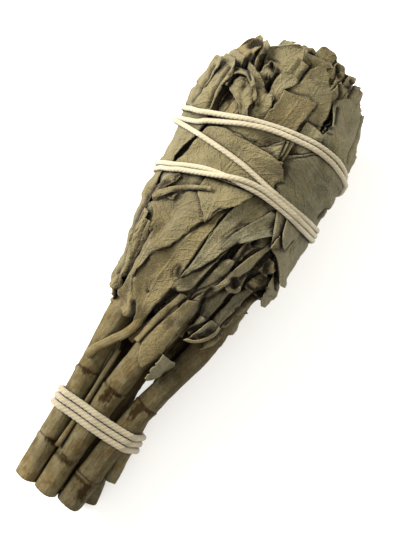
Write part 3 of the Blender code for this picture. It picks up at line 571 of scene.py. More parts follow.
# %% Front leaves, lowest first
FRONT = (
    # name, left edge, right edge, tone (warmth, light), what drying did to it; the light is partly the leaf's
    # own lightness and partly painted light and shade: the leaves down in the folds at the lower right are
    # darkened as shade, the brown scrap in the hollow is lightened
    ("column_outer", ((-15.2, 56.5), (-16.4, 60), (-18.0, 65), (-19.4, 70), (-20.8, 75), (-21.8, 81),
                      (-22.8, 88), (-23.4, 97)),
     ((-14.2, 57), (-15.2, 62), (-16.8, 68), (-18.6, 74), (-19.8, 80), (-20.6, 86), (-21.2, 92),
      (-21.6, 98)), (0.5, 0.1),
     dict(pleats=(0.2, 2.4), raised=(0.1, 0.4, 0, 0), crumple=0.1, ragged=0.15)),
    ("strip_pale_left", ((-15.1, 56.5), (-16.0, 62), (-17.6, 68.5), (-19.2, 74), (-20.1, 79), (-20.4, 84.5)),
     ((-14.5, 57), (-15.0, 62.5), (-15.8, 69), (-17.0, 74), (-18.2, 79), (-18.5, 84)), (0.6, 0.55),
     dict(pleats=(0.15, 1.6), raised=(0.2, 0.3, 0, 0.3), ragged=0.12, crumple=0.08)),
    ("strip_dark_left", ((-15.0, 60), (-16.0, 68), (-17.4, 75), (-18.4, 82)),
     ((-14.0, 60), (-14.8, 68), (-15.4, 75), (-15.6, 82)),
     (0.6, 0.1), dict(pleats=(0.25, 1.4), raised=(0.1, 0.1, 0, 0), crumple=0.08, ragged=0.12)),
    ("side_dark", ((15.0, 58), (15.6, 66), (17.0, 73), (18.4, 80), (19.0, 84)),
     ((18.2, 57.5), (19.0, 63), (19.4, 70), (19.6, 77), (20.6, 84)),
     (0.5, -0.9), dict(pleats=(0.6, 1.6), raised=(0.2, 0.1, 0, 0), dive=1.0)),
    ("hollow_back", ((6.4, 80), (8.0, 85), (10.5, 90), (14, 95)),
     ((21.6, 78.5), (22.6, 84), (22.8, 88), (20, 93)), (0.6, -0.4),
     dict(pleats=(0.6, 3.0), crumple=0.8, raised=(0, 0, 0, 0))),
    ("fold_a", ((9.6, 64.5), (8.6, 68), (7.8, 72), (8.2, 77.5)),
     ((11.4, 65.5), (12.2, 69), (12.8, 73), (13.0, 77.5)), (0.3, -1.3),
     dict(pleats=(0.3, 2.2), raised=(0.1, 0.5, 0.2, 0))),
    ("fold_b", ((12.8, 66.5), (13.2, 71), (14.4, 75.5), (16.4, 79.5), (17.2, 81.5)),
     ((15.2, 66.5), (16.4, 70.5), (17.4, 74.5), (18.4, 79), (18.8, 81)),
     (0.2, -1.1), dict(pleats=(0.15, 2.6), raised=(0.1, 0.5, 0.2, 0.2), cup=-0.4, lift=0.2)),
    ("scrap_brown", ((15.6, 79.6), (16.2, 82.2), (17.8, 84.6), (19.2, 86.4)),
     ((17.6, 79.4), (19.4, 80.6), (21.0, 82.6), (20.4, 85.6)), (0.8, 0.3),
     dict(crumple=0.8, raised=(0.5, 0.5, 0.2, 0.4), pleats=(0.4, 2.2), ragged=0.2, lift=1.2)),
    ("strip_behind", ((10.2, 85.5), (10.6, 89.5), (11.8, 92.6), (14.0, 96.2), (16.4, 99.5)),
     ((12.4, 85.5), (13.2, 88.2), (15.2, 90.4), (17.2, 93.4), (18.8, 96.5)),
     (0.2, -0.1), dict(pleats=(0.15, 2.0), raised=(0.4, 0.2, 0.4, 0), ragged=0.15)),
    ("strip_thin", ((8.2, 83.6), (8.4, 87.5), (9.4, 91.4)), ((10.2, 83.4), (10.8, 87), (11.8, 90.4)),
     (0.4, 0.1),
     dict(raised=(0.2, 0.3, 0.8, 0), ragged=0.2, rolls=(60, 60), roll_width=0.6)),
    ("strip_fold", ((4.0, 69), (4.3, 73), (5.3, 78.5), (6.1, 82.6), (7.4, 84.2)),
     ((6.8, 71.5), (8.0, 75), (9.2, 78.5), (9.8, 81.4), (9.2, 84.4)),
     (0.2, -0.1), dict(pleats=(0.3, 2.4), raised=(0.2, 0.4, 0.1, 0.8), cup=-0.3)),
    ("tube_end", ((10.8, 77.2), (10.9, 80), (12.2, 84), (14.0, 88.4)),
     ((14.6, 77.2), (15.1, 80.5), (14.9, 84.5), (15.6, 89.5)),
     (0.25, -0.2), dict(raised=(0, 0.3, 0.4, 0), pleats=(0.1, 2.0), cup=-0.5, lift=0.3)),
    ("tube_lip", ((10.4, 78.2), (11.2, 76.6), (12.8, 75.8), (14.4, 76.8), (15.1, 78.8)),
     ((11.2, 78.6), (11.8, 77.6), (12.8, 77.1), (13.7, 77.8), (14.2, 79.2)),
     (0.2, 0.3), dict(raised=(0.2, 0.5, 0, 0), ragged=0.05, lift=0.5, pleats=(0, 1))),
    ("strip_long", ((4.4, 66.8), (5.0, 70), (7.0, 72.8), (8.7, 76.6), (9.9, 80), (10.9, 84), (12.5, 88),
                    (14.4, 91.6), (15.6, 95)),
     ((6.9, 69.6), (8.6, 72.8), (10.1, 76.4), (11.8, 80), (14.2, 83.6), (15.3, 87), (16.1, 90.4),
      (17.0, 93), (17.8, 95)), (0.4, 0.2),
     dict(pleats=(0.12, 2.4), raised=(0.3, 0.4, 0.2, 0), cup=-0.35, ragged=0.15)),
    ("small_stalk", ((-4.2, 51), (-3.0, 56), (-1.8, 61), (-0.4, 65), (0.8, 69.2)),
     ((-1.9, 50.6), (-1.0, 55), (0.2, 59.5), (1.4, 63.5), (3.0, 69)),
     (0.95, -1.0), dict(pleats=(0.15, 2.0), raised=(0.1, 0.1, 0.2, 0), cup=-0.6, ragged=0.1)),
    ("flat_stalk", ((0.7, 45.2), (-0.9, 47.6), (-1.6, 51.5), (-0.8, 54.5), (0.4, 59), (2.0, 64), (3.3, 68.2)),
     ((2.4, 45.0), (4.3, 47.4), (5.3, 51.6), (5.6, 55.5), (6.1, 60.5), (6.7, 65), (7.1, 69.5)), (0.7, -0.9),
     dict(pleats=(0.15, 2.6), raised=(0.0, 0.1, 0, 0.6), lift=0.1, cup=-0.7, ragged=0.3, crumple=0.25)),
    ("left_stem_leaf", ((-11.8, 54.7), (-13.6, 55.8), (-14.4, 58), (-14.5, 63), (-14.8, 69), (-15.3, 76)),
     ((-11.0, 54.6), (-8.6, 55.4), (-8.4, 58.4), (-10.2, 62), (-12.3, 65), (-12.8, 70), (-12.2, 76)),
     (0.6, 0.25),
     dict(pleats=(0.05, 3.0), cup=-0.7, raised=(0.3, 0.2, 0.0, 0), ragged=0.1, crumple=0.12, lift=1.5)),
    ("leaf_yellow", ((-6.6, 52.6), (-7.0, 54.6), (-8.0, 57.2), (-9.2, 60.2), (-10.8, 62.2), (-11.8, 64.6),
                     (-13.2, 66.8), (-12.8, 71), (-12.4, 76), (-8, 89), (-3, 96), (0, 102)),
     ((-4.6, 52.6), (-4.2, 56), (-3.4, 61), (-2.7, 66), (-2.1, 70), (-1.7, 74), (-1.1, 80), (-0.5, 88),
      (0.0, 94), (2.0, 102)), (0.85, -0.35),
     dict(pleats=(0.12, 4.4), raised=(0.2, 0.5, 0, 0), dive=0.3, crumple=0.2)),
    ("lower_lobe", ((-2.0, 68.6), (-2.2, 71), (-0.6, 75), (2.2, 80), (4.2, 85)),
     ((0.4, 68.8), (3.0, 71.2), (3.7, 74.8), (4.6, 80), (6.2, 86.5)),
     (0.2, -0.2), dict(pleats=(0.1, 3.0), raised=(0.1, 0.5, 0.7, 0), ragged=0.1)),
    ("leaf_grey_front", ((-1.9, 71.6), (-1.4, 75), (-0.9, 80), (-0.7, 85), (-0.3, 90), (0.6, 95.5), (3, 104)),
     ((-0.8, 73.4), (0.6, 76), (2.4, 78.8), (4.2, 82), (5.2, 85), (8, 90), (15, 105)), (0.3, 0.0),
     dict(pleats=(0.12, 3.4), raised=(0.4, 0.5, 0.5, 0), cup=-0.3, ragged=0.15)),
    ("leaf_grey_over", ((3.4, 84.6), (4.6, 90), (7, 95), (11, 102)),
     ((4.2, 85.3), (8.2, 89.4), (12, 94), (16.8, 98.4), (19, 103)), (0.1, 0.15),
     dict(pleats=(0.12, 4.0), raised=(0.2, 0.7, 0.4, 0), ragged=0.15, crumple=0.2)),
    ("facet_dark", ((8.0, 61), (8.6, 64), (9.0, 66.6)), ((8.8, 60), (11.4, 64.4), (10.4, 66.4)), (0.3, -0.35),
     dict(raised=(0.1, 0.4, 0, 0.2), pleats=(0.1, 2.0), lift=0.2)),
    ("lip_leaf", ((8.4, 58.0), (9.6, 61.5), (10.8, 64.6), (12.2, 66.8)),
     ((10.4, 58.8), (13.2, 60.8), (15.2, 63.2), (15.4, 66.6)), (0.25, 0.0),
     dict(pleats=(0.1, 2.4), crumple=0.25, raised=(0.1, 0.3, 0, 0.4), cup=0.5)),
    ("lip_rim", ((8.2, 57.7), (11, 58.4), (13.8, 60.6), (15.6, 63.6), (15.9, 66.2)),
     ((8.8, 58.6), (11, 59.2), (13.2, 61.4), (14.8, 64.0), (15.1, 66.2)),
     (0.3, 0.4), dict(raised=(0.1, 0.2, 0, 0), ragged=0.05, lift=0.4, pleats=(0, 1))),
    ("flap_tail", ((18.4, 91.2), (19.9, 88.2), (20.7, 85), (21.1, 82), (20.8, 79.9), (22.1, 77.4)),
     ((20.0, 91.2), (22.3, 88.2), (23.6, 85.2), (23.8, 83), (23.5, 80), (22.9, 77.6)), (0.1, 0.25),
     dict(rolls=(40, 0), roll_width=0.7, raised=(0.2, 0.1, 0, 0), ragged=0.1, pleats=(0.1, 2.0), curl=2.0)),
    ("flap_right", ((12, 103), (15.2, 95.5), (16.2, 92.9), (18.2, 91.8), (20.2, 90.0), (21.8, 88.0),
                    (22.9, 86.4), (23.6, 85.2)),
     ((25, 103), (25.2, 98), (25.3, 93), (25.1, 89), (24.7, 86.8), (24.2, 85.3)), (0.08, 0.25),
     dict(crumple=0.12, raised=(0.3, 0, 0, 0), ragged=0.1, pleats=(0.06, 5.0), curl=1.0)),
    ("knot_of_leaf", ((16.0, 92.6), (15.8, 95), (16.4, 98)), ((17.0, 93.0), (18.6, 94.6), (18.0, 98)),
     (0.4, 0.35),
     dict(crumple=0.7, raised=(0.5, 0.5, 0.4, 0), ragged=0.5)),
    ("wedge_right", ((19.5, 94.2), (18.2, 95.6), (16.6, 98.6), (15.6, 103)),
     ((20.0, 94.3), (20.5, 96.6), (20.9, 99.5), (21, 103)), (0.15, 0.1),
     dict(crumple=0.15, raised=(0.4, 0.4, 0.3, 0), ragged=0.15)),
    ("leaf_large_tan", ((-13.3, 65.8), (-14.6, 66.5), (-15.1, 71), (-15.5, 76), (-15.8, 81), (-17.4, 84),
                        (-19.4, 86.4), (-20.6, 88.4), (-16, 93), (-10.5, 98), (-7, 103)),
     ((-13.1, 66.2), (-12.5, 71), (-12.2, 74), (-11.4, 75.6), (-9, 78.2), (-6.4, 84), (-5, 87.8),
      (-4, 89.8), (-3.0, 92), (-1.8, 95), (1.4, 98.8), (4, 104)), (0.6, -0.5),
     dict(crumple=0.3, raised=(0.2, 0.5, 0.2, 0), ragged=0.3, pleats=(0.12, 5.0))),
    ("facet", ((-3.8, 89.4), (-6.8, 92.6), (-10.2, 96.2), (-10.4, 102)),
     ((-3.2, 91), (-1.6, 94.8), (2.4, 99), (5, 104)), (0.6, 0.25),
     dict(crumple=0.25, raised=(0.1, 0.25, 0.1, 0), ragged=0.4)),
    ("small_curl", ((-16.8, 90.4), (-16.6, 92.8)), ((-14.6, 90.3), (-14.4, 92.8)), (0.5, 0.1),
     dict(raised=(0.3, 0.3, 0.6, 0), ragged=0.2, crumple=0.5)),
    ("curled_strip_top", ((-21.4, 89.6), (-20.4, 92.8), (-18.8, 95.4), (-17.4, 98)),
     ((-20.4, 89.0), (-19.0, 91.6), (-17.4, 94.2), (-16.4, 97)),
     (0.5, 0.2), dict(rolls=(60, 60), roll_width=0.8, raised=(0.3, 0.3, 0.2, 0), ragged=0.2)),
    ("curled_strip_long", ((-20.9, 88.9), (-18.6, 91.6), (-16.6, 93.6), (-13, 96.2), (-7.2, 99.4)),
     ((-20.0, 87.4), (-17.4, 90.2), (-15.8, 92.2), (-12.8, 94.9), (-6.6, 98.2)),
     (0.5, 0.15), dict(rolls=(70, 0), roll_width=0.9, raised=(0.2, 0.4, 0.1, 0), ragged=0.2)),
    ("scrap_between_stems", ((4.6, 42.8), (4.2, 46), (4.2, 51.8)),
     ((5.5, 42.7), (7.4, 44.6), (9.1, 47.6), (9.6, 50.6), (8.4, 52)), (0.12, 0.6),
     dict(crumple=0.5, pleats=(0.25, 2.4), raised=(0.1, 0.3, 0, 0.5), ragged=0.5, lift=1.2)),
    ("outer_right", ((18.4, 119), (18.4, 128), (18.4, 134), (19.2, 138)),
     ((25.2, 117), (23.9, 125), (23.0, 130), (22.4, 133.5), (21.7, 136.2), (20.0, 138.8)),
     (0.1, -0.1), dict(crumple=0.12, raised=(0.2, 0.1, 0, 0.2), ragged=0.15, pleats=(0.1, 6.0), lift=0.7)),
    ("leaf_top_right", ((-3.8, 121), (-3.6, 128), (-3.8, 133.6), (-1.6, 136.8), (0.2, 139.2), (2.0, 140.6)),
     ((10.4, 121), (10.6, 128), (10.2, 134.5), (9.2, 137.6), (7.4, 140.2), (4.8, 141.4)), (0.4, 0.1),
     dict(crumple=0.18, raised=(0.1, 0.5, 0, 0.5), ragged=0.3, pleats=(0.1, 8.0))),
    ("scrap_small", ((11.4, 127.5), (11.4, 130.4), (12.4, 133.4)),
     ((15.0, 127.5), (15.4, 131), (14.0, 133.8)), (0.3, 0.25),
     dict(crumple=0.4, ragged=0.5, raised=(0.4, 0.3, 0, 0.3))),
    ("leaf_right_smooth", ((10.8, 121), (11.0, 126), (12.8, 130.4), (12.4, 132.6), (11.1, 134.8),
                           (10.4, 137), (11.2, 139.2), (13.4, 141.0)),
     ((23.6, 118), (22.8, 125), (22.0, 130), (20.9, 134), (19.8, 137.4), (18.6, 139.8), (16.0, 141.2)),
     (0.12, 0.35),
     dict(crumple=0.15, raised=(0.6, 0.3, 0, 0.6), ragged=0.35, pleats=(0.1, 6.0))),
    ("scrap_right", ((4.6, 117), (5.4, 123), (6.0, 128.8)), ((13.8, 117), (13.5, 124), (12.9, 129.2)),
     (0.25, 0.25),
     dict(crumple=0.25, raised=(0.2, 0.1, 0, 0.5), ragged=0.5)),
    ("shoulder_far_left", ((-23.4, 116), (-23.0, 124), (-22.6, 131), (-21.6, 136)),
     ((-17.6, 118), (-17.2, 125), (-17.4, 131), (-17.4, 136)),
     (0.5, 0.2), dict(crumple=0.25, raised=(0.3, 0.6, 0, 0.5), ragged=0.2, pleats=(0.25, 4.0))),
    ("tan_curl", ((-15.4, 116), (-15.0, 120), (-14.6, 123.5), (-13.8, 125.4)),
     ((-10.8, 116), (-10.8, 120), (-11.0, 123), (-12.4, 125.4)), (0.8, 0.05),
     dict(crumple=0.2, cup=-0.8, raised=(0.1, 0.2, 0, 0), ragged=0.2)),
    ("leaf_top_left", ((-7.2, 127.5), (-7.1, 131), (-7.6, 134.4), (-7.1, 137.4), (-5.5, 138.4)),
     ((-3.2, 127.5), (-3.3, 133), (-2.0, 135.4), (-1.1, 137.0), (-2.6, 137.9)),
     (0.5, 0.3), dict(crumple=0.3, raised=(0.5, 0.2, 0, 0.8), ragged=0.3)),
    ("shoulder_middle", ((-12.8, 118), (-12.4, 122), (-11.4, 127.6), (-9.8, 130.8)),
     ((-4.3, 118), (-4.0, 123.5), (-4.0, 127.6), (-5.3, 131.2)), (0.45, 0.15),
     dict(crumple=0.5, raised=(0.2, 0.6, 0, 0.4), ragged=0.4, pleats=(0.2, 3.6))),
    ("shoulder_crumpled", ((-11.0, 120.6), (-13.4, 123.6), (-16.6, 125.0), (-17.5, 127.4), (-16.2, 129.8),
                           (-13.8, 130.9)),
     ((-8.6, 121.4), (-9.4, 124.4), (-9.0, 126.4), (-9.6, 128), (-10.8, 129.6), (-13.0, 130.9)), (0.45, 0.3),
     dict(crumple=1.0, raised=(0.5, 0.4, 0, 0.5), ragged=0.3, pleats=(0.6, 3.4))),
    ("ring_curl", ((-19.4, 125.6), (-20.0, 129), (-18.6, 131.8), (-15.8, 132.9), (-12.8, 131.6),
                   (-11.4, 129.8)),
     ((-18.2, 126), (-18.5, 129), (-17.4, 130.7), (-15.6, 131.4), (-13.6, 130.4), (-12.2, 129)), (0.45, 0.35),
     dict(crumple=0.3, raised=(0.4, 0.1, 0, 0), ragged=0.15, lift=0.4, rolls=(40, 0), roll_width=0.7,
          pleats=(0, 1))),
    ("leaf_top_tan", ((-4.8, 121), (-4.2, 126), (-3.7, 130), (-4.2, 133.5)),
     ((5.0, 121), (5.3, 126), (5.9, 131), (6.3, 135.2)), (0.85, -0.55),
     dict(crumple=0.12, raised=(0.3, 0.4, 0, 0.2), ragged=0.2, pleats=(0.08, 8.0))),
    ("column_left", ((-23.6, 98), (-24.8, 104), (-25.2, 110), (-25.6, 117), (-26.0, 124), (-24.8, 130),
                     (-22.6, 134)),
     ((-20.9, 98), (-19.6, 105), (-18.4, 112), (-18.6, 118), (-19.4, 125), (-18.8, 130), (-19.6, 133.8)),
     (0.45, 0.35),
     dict(pleats=(0.35, 4.6), raised=(0.2, 0.5, 0, 0.5), crumple=0.15, ragged=0.15)),
    ("gap_leaf", ((4.9, 113), (4.9, 118), (4.8, 123)), ((13, 113), (13, 119), (12.5, 123)), (0.3, -0.1),
     dict(crumple=0.3, ragged=0.2, raised=(0.4, 0.1, 0, 0))),
    ("leaf_grey_side", ((9.4, 105), (8.2, 108), (7.2, 112), (5.4, 116.2), (9.6, 119.6), (14.2, 123.4)),
     ((24.6, 100.6), (25.2, 107), (24.8, 112), (24.6, 117), (22.5, 120.4), (16.6, 123.6)), (0.08, -0.05),
     dict(crumple=0.2, raised=(0.3, 0.1, 0, 0.2), pleats=(0.08, 7.0), ragged=0.15)),
    ("leaf_over_front", ((-14.4, 114), (-12.6, 118), (-8, 120.4), (-3, 122.0)),
     ((6.4, 113), (6.4, 117), (6.4, 120), (6.6, 123.2)),
     (0.5, 0.05), dict(crumple=0.3, raised=(0.1, 0.2, 0, 0), ragged=0.2)),
    ("triangle_scrap", ((-1.6, 115.5), (0.8, 117.4), (3.8, 121.2)), ((5.2, 115.2), (5.2, 118), (4.9, 121.4)),
     (0.45, 0.1), dict(crumple=0.1, raised=(0.3, 0.2, 0, 0), ragged=0.1)),
    ("leaf_front_tan", ((-20.4, 98.4), (-19.4, 104), (-18.2, 109), (-17.2, 113), (-12, 115.8)),
     ((10.2, 105), (9.6, 106.6), (8.6, 108.6), (9.2, 112), (6.4, 115.6)), (0.55, 0.1),
     dict(crumple=0.3, raised=(0.4, 0.3, 0, 0.3), ragged=0.4, pleats=(0.1, 7.0))),
    ("fold_in_hollow", ((16.5, 85.8), (17.0, 88), (17.6, 90.2)), ((18.7, 85.4), (19.5, 87.6), (18.9, 89.8)),
     (0.6, -0.2),
     dict(pleats=(0.5, 1.6), raised=(0.2, 0.4, 0, 0), ragged=0.2)),
)
for number, (name, left, right, tone, dried) in enumerate(FRONT):
    along_left = np.mean([p[1] for p in left])
    group = "front_lower" if along_left < 96 else "front_upper"
    lay_leaf("front_" + name, group, edges_from_photo(left, right, None, dried.get("curl", 0.0),
        dried.get("lift", 0.0)), tone, seed=300 + number, cell=0.42, **dried)
print("front leaves:", len(FRONT), "highest place of the heap:", round(float(heap.max()), 2), "mm")

# %% [markdown]
# ## The crown
# At the head's end the leaves stand up round each other like a half-open rose, with curled rims and dark
# hollows. They don't lie on the heap, so each gets a ring: its distance from the head's middle line. The
# inner rings reach further out. The ones that face the camera are again given by their edges.

# %% Rings of standing leaves
RINGS = (
    # distance, number, base, tip, width, first turn
    (3.0, 2, 124, 146.6, 9, 100), (6.6, 4, 124, 146.4, 11, 60), (10.6, 5, 122, 145.0, 14, 10),
    (14.4, 7, 120, 143.0, 15, 22), (17.8, 8, 118, 140.4, 16, 0),
)
for distance, number, base, tip, width, first in RINGS:
    for k in range(number):
        count += 1
        turn = (first + 360 * k / number + draw.uniform(-9, 9) + 180) % 360 - 180
        if distance > 12 and abs(turn) < OPEN_CROWN:
            continue
        end = tip + draw.uniform(-1.8, 1.0) - 0.16 * distance * math.cos(math.radians(turn))
        edges = edges_of_blade((base, turn), (end, turn + draw.uniform(-12, 12)),
                               width * draw.uniform(0.9, 1.2),
                               bow=draw.uniform(-1, 1), blunt=0.3, ring=distance)
        tone = (draw.uniform(0.2, 0.7), draw.uniform(-0.3, 0.3))
        rolls = (draw.choice((0, 40, 90)), draw.choice((0, 40, 90)))
        lay_leaf(f"crown_leaf_{count}", "crown_leaves", edges, tone, ring=distance,
                 crumple=draw.uniform(0.2, 0.7),
                 rolls=rolls, pleats=(0.25, 5.0), raised=(0.2, 0.2, 0, 0.2), lift=draw.uniform(-0.6, 0.6),
                 cup=draw.uniform(-1.0, 0.2), curl=draw.uniform(-2.6, 0.6), ragged=0.3, seed=500 + count,
                 cell=0.8)

CROWN_FRONT = (
    # name, ring, left edge, right edge, tone, what drying did to it; the tone's light is partly the leaf's
    # own
    # lightness and partly painted light: the rim leaves at the upper right, which the light from the left
    # reaches little, are lightened
    ("tip_top", 8.2, ((-2.4, 136), (-2.0, 145), (-1.3, 148.8), (0.2, 150.2)),
     ((5.8, 136), (5.3, 144), (5.4, 147.8), (3.2, 149.8)), (0.5, 0.3),
     dict(crumple=0.3, lift=0.4, pleats=(0.15, 4.0), ragged=0.2)),
    ("hole_rim", 9.4, ((-4.4, 138), (-3.8, 145.4), (-2.9, 147.2)),
     ((-0.6, 138), (-0.6, 145.8), (-1.3, 147.2)), (0.5, -0.2),
     dict(crumple=0.3, cup=0.8, rolls=(40, 40), roll_width=0.8)),
    ("tip_left", 10.6, ((-6.8, 136), (-6.3, 145.4), (-5.5, 147.4)),
     ((-3.2, 136), (-3.5, 145.4), (-4.1, 147.3)), (0.5, 0.0),
     dict(crumple=0.5, ragged=0.4)),
    ("behind_right", 10.6, ((4.2, 136), (4.8, 145), (5.1, 148.2)), ((9.6, 136), (9.4, 145.0), (7.3, 148.0)),
     (0.5, 0.6),
     dict(crumple=0.4, lift=0.2, ragged=0.25)),
    ("behind_right_low", 12.6, ((6.4, 134), (6.8, 144), (7.4, 146.6)),
     ((12.2, 134), (12.0, 144), (9.6, 146.6)), (0.5, 0.6),
     dict(crumple=0.4, ragged=0.3)),
    ("rim_right_back", 14.0, ((9.2, 132), (9.6, 143.6), (10.0, 146.6)),
     ((15.4, 132), (14.8, 142.8), (12.4, 146.6)), (0.6, 0.6),
     dict(crumple=0.4, ragged=0.3)),
    ("rim_right", 15.6, ((12.2, 130), (12.7, 141), (12.9, 145.0)),
     ((20.4, 130), (19.8, 138.0), (17.8, 143.4), (14.8, 145.6)), (0.3, 0.35),
     dict(crumple=0.4, rolls=(40, 0), lift=0.2, pleats=(0.2, 3.4), ragged=0.4)),
    ("rim_left", 14.6, ((-14.3, 132), (-14.1, 138.6), (-13.2, 141.2), (-10.6, 143.4), (-8.0, 145.4),
                        (-6.2, 146.3)),
     ((-3, 132), (-3.2, 139), (-3.6, 143), (-4.6, 146.0)), (0.5, 0.1),
     dict(crumple=0.2, rolls=(50, 0), roll_width=1.0, lift=0.2, cup=0.5, ragged=0.2, pleats=(0.1, 5.0))),
    ("middle_back", 15.2, ((-1.4, 132), (-1.3, 141), (0.6, 143.9), (2.6, 144.6)),
     ((7.4, 132), (7.3, 139), (6.2, 142.5), (4.0, 144.5)), (0.5, 0.15),
     dict(crumple=0.4, ragged=0.5, curl=-0.6)),
    ("folded_middle", 16.4, ((-6.4, 130), (-6.2, 138), (-5.7, 143.5)),
     ((-1.0, 130), (-1.0, 138), (-1.2, 143.3)), (0.5, 0.1),
     dict(crumple=0.5, pleats=(0.5, 2.2), ragged=0.4)),
    ("right_of_middle", 16.8, ((6.4, 130), (6.9, 139), (7.3, 143.7)),
     ((13.4, 130), (13.4, 136), (12.6, 140.1), (9.4, 143.4)), (0.4, 0.3),
     dict(crumple=0.4, ragged=0.4, pleats=(0.2, 3.0))),
    ("rim_right_front", 18.0, ((11.8, 132), (12.0, 140.6), (12.8, 144.2)),
     ((19.2, 132), (19.0, 139.4), (17.6, 142.6), (15.2, 144.6)), (0.25, 0.35),
     dict(crumple=0.35, pleats=(0.15, 3.4), ragged=0.35)),
    ("high_right", 17.4, ((7.2, 130), (7.6, 139), (8.6, 143.2)),
     ((13.4, 130), (13.2, 138.6), (11.8, 142.6)), (0.4, 0.4),
     dict(crumple=0.4, pleats=(0.15, 3.0), ragged=0.3)),
    ("curl_right", 17.6, ((-9.8, 126), (-9.6, 134), (-8.9, 138.0)),
     ((-6.6, 126), (-7.0, 134), (-7.3, 137.5)), (0.5, -0.1),
     dict(crumple=0.9, rolls=(60, 60), roll_width=1.0, ragged=0.5)),
    ("curl_left", 18.4, ((-12.4, 126), (-12.4, 134), (-11.7, 138.4)),
     ((-8.2, 126), (-8.6, 134), (-8.9, 138.3)), (0.5, 0.0),
     dict(crumple=0.9, rolls=(80, 60), roll_width=1.2, ragged=0.5, curl=0.8)),
    ("crumpled_strip", 18.6, ((-16.5, 128), (-16.4, 136), (-16.1, 140.4)),
     ((-13.2, 128), (-13.6, 134.4), (-15.0, 140.2)), (0.8, 0.0),
     dict(crumple=0.5, pleats=(0.6, 1.3), ragged=0.4)),
    ("spike_left", 20.6, ((-24.0, 124), (-23.4, 132.8), (-21.6, 136), (-20.0, 139), (-18.6, 141.6),
                          (-17.1, 143.4)),
     ((-17.4, 124), (-17.3, 132), (-16.6, 137), (-16.0, 140.6), (-16.4, 142.9)), (0.85, -0.05),
     dict(crumple=0.25, ragged=0.3, cup=0.3, pleats=(0.15, 4.0))),
    ("leaf_curled_left", 20.6, ((-18.8, 122), (-18.6, 130), (-18.0, 135.6)),
     ((-7.2, 122), (-7.6, 128), (-8.4, 131.0), (-12.4, 133.8)), (0.45, 0.3),
     dict(crumple=0.5, ragged=0.4, pleats=(0.3, 4.0))),
    ("side_lobe", 25.2, ((-26.0, 122), (-26.3, 127), (-25.8, 131), (-24.6, 132.7)),
     ((-23.0, 122), (-22.8, 128), (-23.0, 131.4), (-23.8, 132.6)), (0.45, 0.3),
     dict(crumple=0.5, rolls=(0, 60), roll_width=1.2, ragged=0.4)),
)
# painted light: the crown leaves are made lighter in colour, for the light that their faces, sloping away,
# get too little of
CROWN_PAINTED_LIGHT = 0.14
for number, (name, ring, left, right, tone, dried) in enumerate(CROWN_FRONT):
    warmth, light = tone
    lay_leaf("crown_" + name, "crown_leaves", edges_from_photo(left, right, ring, dried.get("curl", 0.0),
        dried.get("lift", 0.0)),
             (warmth, light + CROWN_PAINTED_LIGHT), ring=ring, seed=700 + number, cell=0.42, **dried)
print("leaves in all:", len(laid))
